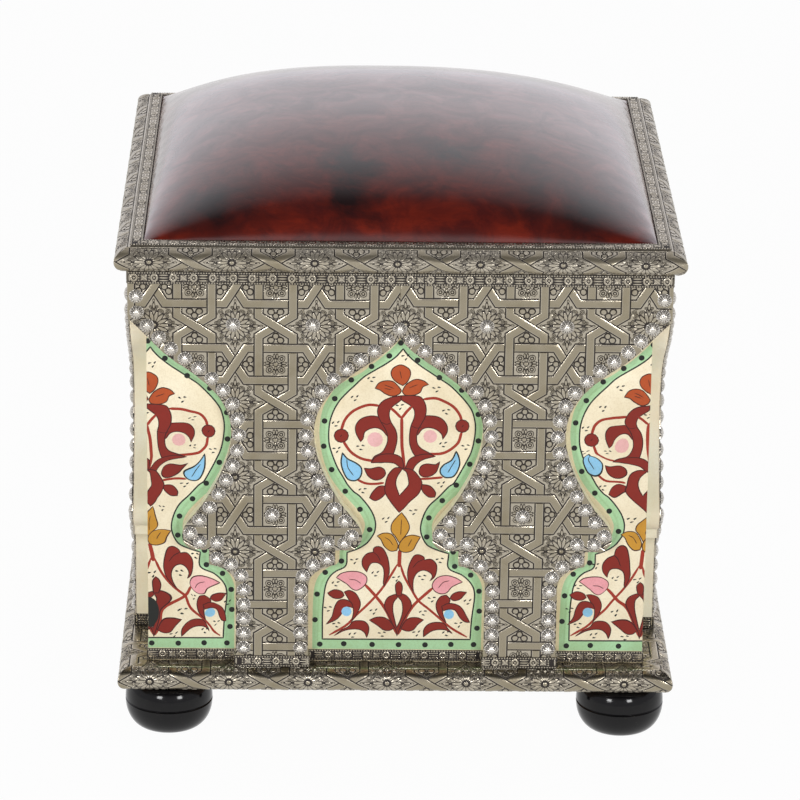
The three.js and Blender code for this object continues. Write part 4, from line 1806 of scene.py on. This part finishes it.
INNER_LINE = (
    "3,332 -3,325 -11,319 -19,314 -28,308 -35,301 -41,295 -47,288 -51.5,280 -54.5,271 -55.5,263 "
    "-55.5,254 -54.5,248 -52,240 -48.5,231 -44,223 -40,216 -35,210 -31,207 -25,200 -20,192 "
    "-17.5,184 -18,176 -21,170 -25,165 -32,160.5 -40,157.5 -41,146 -49,141 -54,136 -57,129 "
    "-58.5,119 -59.5,105 -59.5,81.5 60.5,82 61.5,100 63.5,119 62.5,127 59,133 53,138.5 42,144.5 "
    "42,157 33,160 25,164 21,170 19,177 19.5,184 22,192 26,199 33,206 41,215 45,218 50,227 55,237 "
    "58.5,245 60.5,254 61.5,264 61,271 58.5,280 54,287 48,294 41,301 34,306 26,311.5 18,317 10,323.5 5,329"
)
OUTER_LINE = (
    "1,340 -11,327.5 -21,319 -31,311 -42,305 -50,299 -56,290 -60,282 -62,273 -63,262 -62.5,254 "
    "-61,244 -58.5,234 -55,225 -51,218 -46,211 -38,202 -30,192 -26,183 -27,175 -31,169 -39,163.5 "
    "-46,161.5 -47,149 -55,144.5 -62,138 -65.5,130 -67,119 -67.5,100 -67.5,73 69.5,73 69.5,119 "
    "69,130 64,140 55,146 50,149 50,161 37,166 29,174 28.5,184 33,193 42,203 52,213 60,226 66,240 "
    "69,256 69.5,270 66,284 58,296 46,305 33,313.5 20,323 8,333"
)
RIM: tuple[Touch, ...] = (
    *fills(Paint.GREEN, None, OUTER_LINE),
    *lines(Paint.GREEN_DEEP, 2.2,
        "62,73 64,100 66.5,121 61,136 50,142 46,148 46,159 31,164.5 25,174 24.5,186 30,197 40,208 50,219 "
        "58,233 63.5,248 65.5,264 62.5,281 52,295 38,305.5 22,316.5 8,328"),
    *lines(Paint.GREEN_DEEP, 1.6,
        "-63.5,75 -63,100 -62,121 -58,135 -45,144 -43.5,159 -31,164.5 -24,172 -22.5,183 -27,194 -37,206 "
        "-48,221 -56,238 -59,256 -57.5,276 -49,293 -32,307.5 -12,322"),
    *fills(Paint.FIELD, Paint.BLACK, INNER_LINE),
    dots(Paint.BLACK, 4.7,
        "1,337 -8,326 -22,317 -38,305.5 -51,289.5 -59,270.5 -59.5,249 -53,229 -42,210.5 -30,195 "
        "-22,177.5 -44.5,150 -57.5,140 -64,121 -65.5,98.5 -61.5,77 -42,77.5 -19,77 2.5,77 24,77 45,77.5 "
        "63.5,77.5 66,92 67.5,107 67,124.5 60,138.5 47,146 45.5,158.5 24,171.5 25.5,188 36,203 47,216.5 "
        "57.5,234.5 64,254.5 63.5,277 50,297.5 32,308 14.5,322.5"),
)
FLOWERING: tuple[Touch, ...] = (
    # Rings with their berries
    *lines(Paint.BRICK, 2.3,
        "-14,283.5 -23,284.5 -30,282.5 -37,278.5 -42.5,272 -45,265 -46,259",
        "-44,254 -42.5,251 -37.5,244 -30,239 -22,237 -15,236.5",
        "19,289.5 29,290.5 37,287.5 44,283 49,276 50.5,270",
        "51,263 50,260 48,253 42,247 35,243.5 27,243 20,243"),
    dots(Paint.RED, 11.4, "-45.5,258", Paint.RED_EDGE),
    dots(Paint.RED, 10.8, "51,267", Paint.RED_EDGE),
    *lines(Paint.RED_EDGE, 0.8,
        "-46.5,257 -45,259",
        "50.5,266 52,268"),
    # Scrolls
    *fills(Paint.RED, Paint.RED_EDGE,
        "-17,274.5 -23,275 -30,272.5 -34,267 -34,261 -31.5,255.5 -30,253 -28,256 -27,261 -23,264 -18,265 "
        "-13,263 -9,258 -9,270",
        "18,274.5 27,275.5 34,273.5 38.5,268 39,262 35.5,255.5 34.5,260 30,264 24,265.5 19,264 15.5,259 "
        "12,266",
        "2,292.5 -6,291 -13,287.5 -16.5,282 -16.5,276 -14,270 -11,265 -9,260 -8.5,254 -10,249 -13,244 "
        "-19,240.5 -21.5,235.5 -11,235.5 -5,240 -1.5,251 -1,258 -2.5,264 -6,270 -7.5,276 -6,282 2,289",
        "2,292.5 13,292.5 18,291 21,286 22,280 21,274 18,268 15,261 15,253 18,248 24,244.5 28,242 20,238.5 "
        "14,241 10.5,247 9,253 9,260 10,267 12.5,274 12.5,280 9.5,284 2,289"),
    *lines(Paint.RED_EDGE, 0.6,
        "-14,270 -9.5,268 -6,269.5",
        "10,267 14.5,265 19,266"),
    dots(Paint.BLUSH, 12.6, "-18.5,255"),
    dots(Paint.BLUSH, 11.0, "25.5,258"),
    # Forked stem
    *lines(Paint.BRICK, 2.3,
        "-6.5,282 -2,278 2,273.5",
        "10.5,283.5 6.5,279 2.5,273.5"),
    *lines(Paint.BRICK, 2.6, "2.5,275 3,250 4.2,240 5,228"),
    # Lower curls
    *fills(Paint.RED, Paint.RED_EDGE,
        "-12,242.5 -3,242.5 3,239 5,230 2,231 -3,234.8 -11,235.5 -21.5,235 -18,240",
        "6,231 9,238 15,241.5 24,243 30,241 20,238 14,233 11,226"),
    # Top leaves
    *fills(Paint.ORANGE, Paint.BROWN,
        "-19,298.5 -16,303 -11,305 -5,304.5 -1,301 2,297 0.5,294 -5,292 -11,294 -15,297",
        "23.5,302 20,305 14,306.5 9,304.5 5,301 2.5,296 5,293 12,293 17,295.5 19,300",
        "1.5,318.5 8,315 9,310 6.5,304 3,301 -1.5,303.5 -5,307 -6.5,311.5 -4.5,316"),
    *lines(Paint.BROWN, 0.6,
        "0.5,313.5 2,307",
        "-11.5,301.5 -4,298.5",
        "-11.5,298.5 -6,297.5",
        "8,299 15,302"),
    # Blue leaves
    *lines(Paint.BRICK, 2.0,
        "-33,221 -26,217.5 -18,217 -11,218",
        "18,221.5 26,222 36,223"),
    *fills(Paint.BLUE, Paint.BLACK,
        "-44.5,243.5 -40.5,238.5 -34,235 -29.5,231 -29,226 -31,221.5 -35,219.5 -40,221 -43.5,227 -45.5,235"),
    *lines(Paint.BLACK, 0.7, "-41,238 -40,231 -35.5,224"),
    *fills(Paint.BLUE, Paint.BLACK,
        "46.5,245.5 48.5,241 49.5,235 47.5,228 44,223.5 38,223 34.5,226 34,230 37,234 43,238"),
    *lines(Paint.BLACK, 0.7, "46,238 40,227"),
    # Small red leaves
    *fills(Paint.RED, Paint.RED_EDGE,
        "-27,230.5 -22,230 -15,231.5 -11,229.5 -10,225 -14,221 -19,220.5 -24,224",
        "33.5,236.5 30,234 23,234.5 18.5,232.5 17,227 20,223.5 26,224 31,228"),
    # Calyx
    *fills(Paint.RED, Paint.RED_EDGE,
        "-8.5,215 -15,215 -20,210 -22.5,205 -18,202.5 -13,205 -9,210",
        "18.5,217 26,215.5 30.5,210 30,206 25,206 20,211",
        "-2,231 -7,226 -9.5,219 -10,210 -5,201 1.5,192.5 5,196 10,202 17,209 19.5,217 18,222 12,229 "
        "4.5,230.5"),
    *fills(Paint.FIELD, Paint.RED_EDGE, "3.5,230 -0.5,223 -1.5,217 1.5,207 8,215 9,218 7,227"),
    # Ochre bud
    *lines(Paint.BRICK, 3.1, "2.5,160 2.3,152 2,145"),
    *fills(Paint.OCHRE, Paint.BROWN,
        "-16,172 -11,174.5 -5,174 -1.5,170 1,164 0,159.5 -5,159 -10,163 -13,169",
        "19,171.5 13,173 8,172 4,169 1.5,163 3,159 8,158 13,160 15.5,165",
        "3.5,192.5 8,186 10,180 8.5,175 5,170 2,166 -1.5,172 -4.5,176 -4.5,182 -1.5,187"),
    *lines(Paint.BROWN, 0.6,
        "3.5,186.5 3,173",
        "-10,171 -6,168.5 -3,164",
        "12,169.5 9,163"),
    # Stems of the lower part
    *lines(Paint.BRICK, 2.0,
        "1,148 -5,137 -11,127 -17,119 -25,110 -32,103 -40,94 -54,85",
        "3,148 6,138 11,128 18,116 26,109 36,100 45,92 58,84"),
    *lines(Paint.BRICK, 2.5,
        "1,86 -6,103 -11,112 -17,120 -26,130.5",
        "2,86 8,101 13,110 18,116 30,127.5"),
    # Upper hooks
    *fills(Paint.RED, Paint.RED_EDGE,
        "-10,128 -6,139 -6,146 -7.5,154 -11,161 -15,163 -18.5,161.5 -19,158 -24,156.5 -27.5,152 -27.5,146 "
        "-24,140.5 -22.5,145 -20,148.5 -15,148.5 -11,145 -10,139 -10.5,132",
        "14.5,122 10,132 9,140 10.5,148 14,155 18,156 22,154 22.5,151.5 28,152 32,148 32.5,143 31,137 "
        "27,133 29,137 27,140.5 22,142.5 17,140.5 14,135 13.5,128"),
    *lines(Paint.RED_EDGE, 0.6,
        "-19,158 -15.5,155 -13,150",
        "22,152 17,149.5 13,144.5"),
    # Pink leaves
    *fills(Paint.PINK, Paint.RED_EDGE,
        "-48.5,135.5 -45,139 -38,141 -30,140.5 -24.5,137 -24,132 -27,127.5 -32,124.5 -36,126 -40,130"),
    *lines(Paint.RED_EDGE, 0.6, "-38,134 -33,133.5 -28.5,130.5"),
    *fills(Paint.PINK, Paint.RED_EDGE,
        "53.5,132.5 48,136 41,138 35,137 31,134 29,129 31,124.5 36,122 41,123 45,128"),
    *lines(Paint.RED_EDGE, 0.6, "34,127 38,132 43,133.5"),
    # Lily
    *fills(Paint.RED, Paint.RED_EDGE,
        "-21.5,98.5 -16,101 -10,101 -5,98 -1,92 -5,89.5 -10,90 -15,94",
        "22.5,99 17,101 11,100.5 7,97 4,91 9,89 14,90 18,95",
        "2,122 -6,119 -9,114 -9,109 -6,103 -3,96 0,90 1,84.5 5,96 9,104 12.5,111 11,117 7,121",
        "2,133 -0.5,130 -0.5,125 0.5,120 4,120 5,127 4,131"),
    *fills(Paint.FIELD, Paint.RED_EDGE, "1.5,119 -2,114 -2.5,107 -0.5,97 0.7,92 4,100 5.5,108 4.5,115"),
    # Left palmette
    *fills(Paint.RED, Paint.RED_EDGE,
        "-55.5,122 -50,125 -44,123.5 -42,120 -45,117.5 -50,117.5 -53.5,119.5",
        "-38,93 -35,97 -30,98 -25,97 -22,93 -22,88 -23.5,83 -25,87 -29,90 -35,90.5 -42,89 -50,84.5 "
        "-44,89.5",
        "-42,123 -38,124.5 -33,122 -29.5,116 -29,111 -32,103 -36,97 -34.5,105 -35,110 -37,114",
        "-56.5,94.5 -52,101 -50,109 -47,115 -42,116.5 -36.5,114 -34.5,109 -38,110 -42,108.5 -44,104 -48,99"),
    dots(Paint.BLUE, 8.4, "-40,106"),
    # Right palmette
    *fills(Paint.RED, Paint.RED_EDGE,
        "57,123.5 51,124 46,122 43.5,118 47,116 52,117.5 55,121",
        "22.5,84 23,91 27,95.5 33,97 39,96 42,92 46,87 41,90 35,90.5 29,89",
        "41,96 35,103 32.5,110 33,115 36,119.5 40.5,121 43.5,117.5 43,114 38.5,111 38,105",
        "60,97 57,103 53,110 48,113 42,113.5 37,111 38,107 43,108.5 48,107.5 52,101 56,97.5"),
    dots(Paint.BLUE, 8.4, "43,104"),
)
TICKS = (
    "5,325 -22,306 30,298 -35,290 38,279 1,283 -50,268 -30,248 -49,246 36,251 54,249 35,217 -28,211 13,193 "
    "-9,186 35,151 -34,150 -17,139 21,136 0,135 -49,130 -55,108 -18,106 22,105 29,117 58,115 -48,94 51,95 "
    "-35,85 -11,86 17,87 41,87"
)
# How far the flowers at the two corners have strayed: x, z, run, rise
LEFT_DRIFT = pairs(
    "51,267,-2.4,-6.2 25.5,258,0,-4.5 39,262,-1.5,-4.2 41,234,-5.8,-7 26,230,-6.5,-1 24,210,-7,0 "
    "1.5,193,1,4 17,220,-6.5,-3 8,165,-2.5,5 4,182,-2.5,0 20,148,4.8,4 18,156,2,6 41,130,2,-2.8 "
    "18,116,12.5,3 43,110,8,0 50,120,6.5,-3 35,93,5.4,2 14,95,3.4,-4 58,84,0,0 9,108,-1.5,0 "
    "14,299,-1.2,-9.5 5,310,0,-7.5 13,280,-3.8,-9 29,290,-2,-11 35,243,5,-1 2,250,0,-4"
)
RIGHT_DRIFT = pairs(
    "-45.5,258,0,-1.8 -18.5,255,-3.2,-4.6 -30,262,0,-5.4 -9,262,-4.5,-1 -11,299,-1.2,-5 -2,310,-2.5,-6 "
    "0,291,-2,-7 -23,284.5,-3,-9.5 -38,228,-7.8,7.6 -19,226,-8.5,3.5 -15,209,-9.5,5.5 -7,215,-5.8,0 "
    "1.5,193,0,0 -9,167,-3.8,3.5 -20,148,-7,-4 -36,132,-3.2,-4.2 -17,118,-6.5,0 -40,106,-4.9,0.7 "
    "-49,121,-4.5,0 -30,93,-4.5,1.4 -11,95,-2.5,-2.8 -4,110,-4.5,4 -56,95,-4.5,1 2,240,-3,-2"
)


DARK_PATCH = fills(Paint.BLACK, None, "-4,116 1,117.5 6,114 8.5,107 7.5,98 3,91 -3,92 -6,104")
TICK_SHAPE = pairs("-1,-0.6 0,-1 0.8,-0.5 1,0 0,1 -0.7,1")
TICK_PLACES = pairs("-2.2,1.2 2,1.8 0.3,-1.6")


@dataclass
class Panels:
    """The films of paint on the four sides of the painted box."""

    half: float = 200.6
    bottom: float = 62.6
    top: float = 400.4
    back: float = 200.52
    front: float = 200.65
    corner_shift: float = 200.4
    tick_length: float = 2.9
    tick_width: float = 1.25
    tick_lean: float = 20.0
    tick_sway: Pair = (35.0, 2.3)
    pin_reach: float = 6.0
    pin_power: float = 3.5

    def _ticks(self) -> list[tuple[Paint, np.ndarray]]:
        """The small brush ticks that are strewn in threes between the flowers."""
        ticks = []
        sway, pace = self.tick_sway
        for i, place in enumerate(pairs(TICKS)):
            for k, step in enumerate(TICK_PLACES):
                angle = math.radians(self.tick_lean + sway * math.sin(pace * i + k))
                along = np.array([math.cos(angle), math.sin(angle)]) * self.tick_length / 2
                across = np.array([-along[1], along[0]]) * self.tick_width / self.tick_length
                ticks.append((Paint.BLACK, place + step + TICK_SHAPE @ np.array([along, across])))
        return ticks

    def _drifted(self, outline: np.ndarray, pins: np.ndarray) -> np.ndarray:
        """An outline carried along by the pins near it.

        Args:
            outline: The outline.
            pins: The place of each pin and how far it has strayed.

        Returns:
            The outline where it has gone.
        """
        gaps = np.linalg.norm(outline[:, None] - pins[None, :, :2], axis=2)
        weights = 1 / (gaps + self.pin_reach) ** self.pin_power
        return outline + (weights @ pins[:, 2:]) / weights.sum(axis=1)[:, None]

    def _areas(self) -> list[tuple[Paint, np.ndarray]]:
        """Every painted area of one side, in the order of painting."""
        rim, motif, patch = (
            [area for touch in part for area in touch.areas()] for part in (RIM, FLOWERING, DARK_PATCH)
        )
        motif += self._ticks()
        left = [(paint, self._drifted(outline, LEFT_DRIFT)) for paint, outline in motif]
        right = [(paint, self._drifted(outline, RIGHT_DRIFT)) for paint, outline in motif]
        side = []
        for shift, flowers in ((-self.corner_shift, left + patch), (0.0, motif), (self.corner_shift, right)):
            for paint, outline in rim + flowers:
                moved = outline + (shift, 0)
                if moved[:, 0].max() > -self.half and moved[:, 0].min() < self.half:
                    side.append((paint, moved))
        return side

    def _film(self) -> Shape:
        """The film of paint on the front, with its colours."""
        areas = self._areas()
        half, border = self.half, np.array(Paint.BORDER.value)
        outline = np.array([[-half, self.bottom], [half, self.bottom], [half, self.top], [-half, self.top]])
        plate = Plate(outline, [np.vstack([area, area[:1]]) for _, area in areas])
        centres = plate.points[plate.triangles].mean(axis=1)
        colours = np.tile(border, (len(centres), 1))
        for paint, area in areas:
            colours[is_inside(centres, area)] = paint.value
        corners, faces = plate.solid(upright(plate.points, self.front), upright(plate.back_points, self.back))
        rest = sum(len(face) for face in faces[len(centres):])
        paint = np.vstack([np.repeat(colours, 3, axis=0), np.tile(border, (rest, 1))])
        return Shape(corners, faces, paint=paint)

    def build(self) -> None:
        """Makes the films of paint."""
        add_round("painted_panel", self._film(), FLOWERS, sharp=None)


@dataclass
class Seat:
    """The seat board's mouldings, the border strip round the pad and the pad."""

    strip_outer: float = 212.3
    strip_lift: float = 0.3
    strip_step: float = 2.5
    pad_half: float = 202.0
    pad_foot: float = 420.4
    pad_rim: float = 421.0
    crown: float = 63.5
    crown_shift: float = -12.0
    fullness: float = 2.5
    fall: float = 0.6
    pucker: float = 0.2
    pucker_fade: Pair = (3.0, 9.0)
    tack_pitch: float = 27.0
    tack_drift: Pair = (1.3, 37.0)
    cells: int = 180
    fill: float = 0.8

    def build(self) -> None:
        """Makes the seat."""
        Moulding("seat_moulding", SEAT_NOSE, 29.6, 14.9, Lattice(64.8), SEAT_METAL).build()
        self._border()
        self._pad()

    def _border(self) -> None:
        """The strip that covers the edge of the leather."""
        nose = SEAT_NOSE
        section, girth = nose.section(), nose.girth()
        upper = section[:, 1] > (nose.bottom + nose.top) / 2
        low, high = float(np.interp(-self.strip_outer, -section[upper, 0], girth[upper])), float(girth[-1])
        marks = [mark.moved(0, (low + high) / 2) for mark in Braid(high - low).marks(2 * self.strip_outer)]
        raised = self.strip_lift + LEVELS.strip_thickness - LEVELS.strip_sink
        one = embossed(
            nose.outline(low, high, 0.0, self.strip_step), marks,
            lambda points, heights: nose.wrap(points, raised + LEVELS.strip_depth * heights),
            lambda points: nose.wrap(points, self.strip_lift),
            nose.ribs(low, high, self.strip_step), Braid.ground,
        )
        ring = joined(one.quarter_turned(i) for i in range(4))
        add_piece("seat_strip", ring.mesh("seat_strip", 35.0), METAL, ["seat_border"])

    def _heights(self, x: np.ndarray, y: np.ndarray) -> np.ndarray:
        """The pad's level, domed and drawn in between the tacks along its edge.

        Args:
            x: The places across the pad.
            y: The places along it.

        Returns:
            The level at each place.
        """
        shift = self.crown_shift * (1 - (x / self.pad_half) ** 2)
        dome = np.full_like(x, self.crown)
        for share in ((x - shift) / self.pad_half, y / self.pad_half):
            dome *= np.clip(1 - np.abs(share) ** self.fullness, 0, 1) ** self.fall
        inset = self.pad_half - np.maximum(np.abs(x), np.abs(y))
        along = np.where(np.abs(x) > np.abs(y), y, x)
        sway, pace = self.tack_drift
        pull = np.sin(along * 2 * math.pi / self.tack_pitch + sway * np.sin(along / pace)) - 1
        near, far = self.pucker_fade
        dome += self.pucker * pull * np.exp(-inset / far) * np.clip(inset / near, 0, 1)
        return self.pad_rim + np.minimum(dome, self.crown)

    def _pad(self) -> None:
        """The leather over its wadding, closed below."""
        count, width = self.cells, self.cells + 1
        share = np.sin(np.linspace(-0.5, 0.5, width) * math.pi) * self.pad_half
        x, y = (grid.ravel() for grid in np.meshgrid(share, share))
        top = np.column_stack([x, y, self._heights(x, y)])
        starts = [j * width + i for j in range(count) for i in range(count)]
        faces: Faces = [(a, a + 1, a + width + 1, a + width) for a in starts]
        rim = [*range(width), *range(2 * width - 1, width * width, width)]
        rim += [*range(width * width - 2, count * width - 1, -1), *range((count - 1) * width, 0, -width)]
        low = top[rim] * (1, 1, 0) + (0, 0, self.pad_foot)
        base = [len(top) + i for i in range(len(rim))]
        faces += [(rim[i], rim[i - 1], base[i - 1], base[i]) for i in range(len(rim))]
        faces.append(tuple(base[::-1]))
        mesh = Shape(np.vstack([top, low]), faces).mesh("leather_pad", 60.0)
        piece = add_piece("leather_pad", mesh, LEATHER, ["leather_cover", "seat_padding"])


class Hidden:
    """The plain wooden nodes of the solid model, which keep their shapes."""

    painted: tuple[str, ...] = ("carcass_wall",)
    bare: tuple[str, ...] = ("plinth_board", "seat_board", "corner_post", "seat_cleat", "foot_dowel")

    def build(self) -> None:
        """Dresses the nodes that are still the solid model's own."""
        for starts, finish in ((self.painted, CREAM), (self.bare, WOOD)):
            for name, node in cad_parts.items():
                if name.startswith(starts):
                    node.data.materials.clear()
                    node.data.materials.append(finish.material())
                    log.info("%s: dressed", name)


@dataclass
class Studio:
    """Floor, lamps, world and camera."""

    lens: float = 200.06
    sensor: float = 36.0
    sight: float = 50.0
    eye: tuple[float, float, float] = (-0.0567, -3.5229, 1.5089)
    pan: float = -0.994
    tilt: float = 69.837
    roll: float = 0.791
    target: tuple[float, float, float] = (0.0, 0.0, 0.25)
    lamp_distance: float = 2.8
    lamp_size: float = 0.55
    lamp_power: float = 23.5
    lamp_bearing: float = 26.0
    lamp_elevation: float = 15.0
    rear_level: float = 1.27
    rear_span: Pair = (0.08, 0.64)
    front_level: float = 0.75
    front_span: Pair = (0.32, 0.66)
    dim_level: float = 0.04
    room: tuple = (0.96, 0.95, 1.0, 1.0)
    white: tuple = (1.0, 1.0, 1.0, 1.0)
    paper: tuple = (0.8, 0.8, 0.8, 1.0)
    paper_share: float = 0.035
    floor_half: float = 30.0

    def build(self) -> None:
        """Sets up the studio."""
        bpy.context.scene.view_settings.view_transform = "Standard"
        self._camera()
        self._floor()
        self._world()
        for name, sign in (("softbox_left", -1), ("softbox_right", 1)):
            self._lamp(name, sign * self.lamp_bearing)

    def _camera(self) -> None:
        """The camera at the photograph's angle."""
        data = bpy.data.cameras.new("camera")
        data.lens, data.sensor_width, data.clip_end = self.lens, self.sensor, self.sight
        camera = bpy.data.objects.new("camera", data)
        camera.matrix_world = (
            Matrix.Translation(self.eye)
            @ Matrix.Rotation(math.radians(self.pan), 4, "Z")
            @ Matrix.Rotation(math.radians(self.tilt), 4, "X")
            @ Matrix.Rotation(math.radians(self.roll), 4, "Z")
        )
        bpy.context.scene.collection.objects.link(camera)
        bpy.context.scene.camera = camera

    def _lamp(self, name: str, bearing: float) -> None:
        """A square soft lamp aimed at the middle of the stool.

        Args:
            name: Its name.
            bearing: How far it stands to the right of the front, in degrees.
        """
        data = bpy.data.lights.new(name, "AREA")
        data.energy, data.shape, data.size = self.lamp_power, "SQUARE", self.lamp_size
        lamp = bpy.data.objects.new(name, data)
        around, up = math.radians(bearing), math.radians(self.lamp_elevation)
        away = Vector((math.sin(around) * math.cos(up), -math.cos(around) * math.cos(up), math.sin(up)))
        lamp.location = Vector(self.target) + away * self.lamp_distance
        lamp.rotation_euler = (-away).to_track_quat("-Z", "Y").to_euler()
        bpy.context.scene.collection.objects.link(lamp)

    def _floor(self) -> None:
        """A wide pale floor, white to the eye but for the stool's shadow."""
        half = self.floor_half
        mesh = bpy.data.meshes.new("floor")
        corners = [(-half, -half, 0), (half, -half, 0), (half, half, 0), (-half, half, 0)]
        mesh.from_pydata(corners, [], [(0, 1, 2, 3)])
        floor = bpy.data.objects.new("floor", mesh)
        bpy.context.scene.collection.objects.link(floor)
        material = bpy.data.materials.new("floor")
        material.use_nodes = True
        graph = Graph(material.node_tree)
        paper = graph.add("ShaderNodeBsdfDiffuse", {"Color": self.paper})
        light = graph.add("ShaderNodeEmission", {"Color": self.white, "Strength": 1.0})
        path = graph.add("ShaderNodeLightPath").outputs
        seen = graph.math("ADD", path["Is Camera Ray"], path["Is Glossy Ray"], clamp=True)
        seen = graph.math("ADD", seen, path["Is Transmission Ray"], clamp=True)
        share = graph.math("MULTIPLY", seen, 1 - self.paper_share)
        surface = graph.add("ShaderNodeMixShader", {0: share, 1: paper.outputs[0], 2: light.outputs[0]})
        graph.add("ShaderNodeOutputMaterial", {"Surface": surface.outputs[0]})
        mesh.materials.append(material)

    def _world(self) -> None:
        """White to the eye; for the stool a room bright behind it and low in front, and dim overhead."""
        world = bpy.data.worlds.new("studio")
        world.use_nodes = True
        bpy.context.scene.world = world
        graph = Graph(world.node_tree)
        direction = graph.add("ShaderNodeTexCoord").outputs["Generated"]
        along = graph.add("ShaderNodeSeparateXYZ", {0: direction}).outputs
        rear = graph.spread(along["Y"], *self.rear_span, self.dim_level, self.rear_level)
        front = graph.spread(along["Z"], *self.front_span, self.front_level, self.dim_level)
        level = graph.math("MAXIMUM", rear, front)
        seen = graph.add("ShaderNodeLightPath").outputs["Is Camera Ray"]
        room = graph.add("ShaderNodeBackground", {"Color": self.room, "Strength": level})
        white = graph.add("ShaderNodeBackground", {"Color": self.white, "Strength": 1.0})
        both = graph.add("ShaderNodeMixShader", {0: seen, 1: room.outputs[0], 2: white.outputs[0]})
        graph.add("ShaderNodeOutputWorld", {"Surface": both.outputs[0]})


def main() -> None:
    """Builds the stool in the order in which it is put together."""
    logging.basicConfig(level=logging.INFO, format="%(name)s %(message)s")
    for part in (Studio(), Base(), Hidden(), Panels(), Fretwork(), Seat()):
        part.build()


if __name__ == "__main__":
    main()
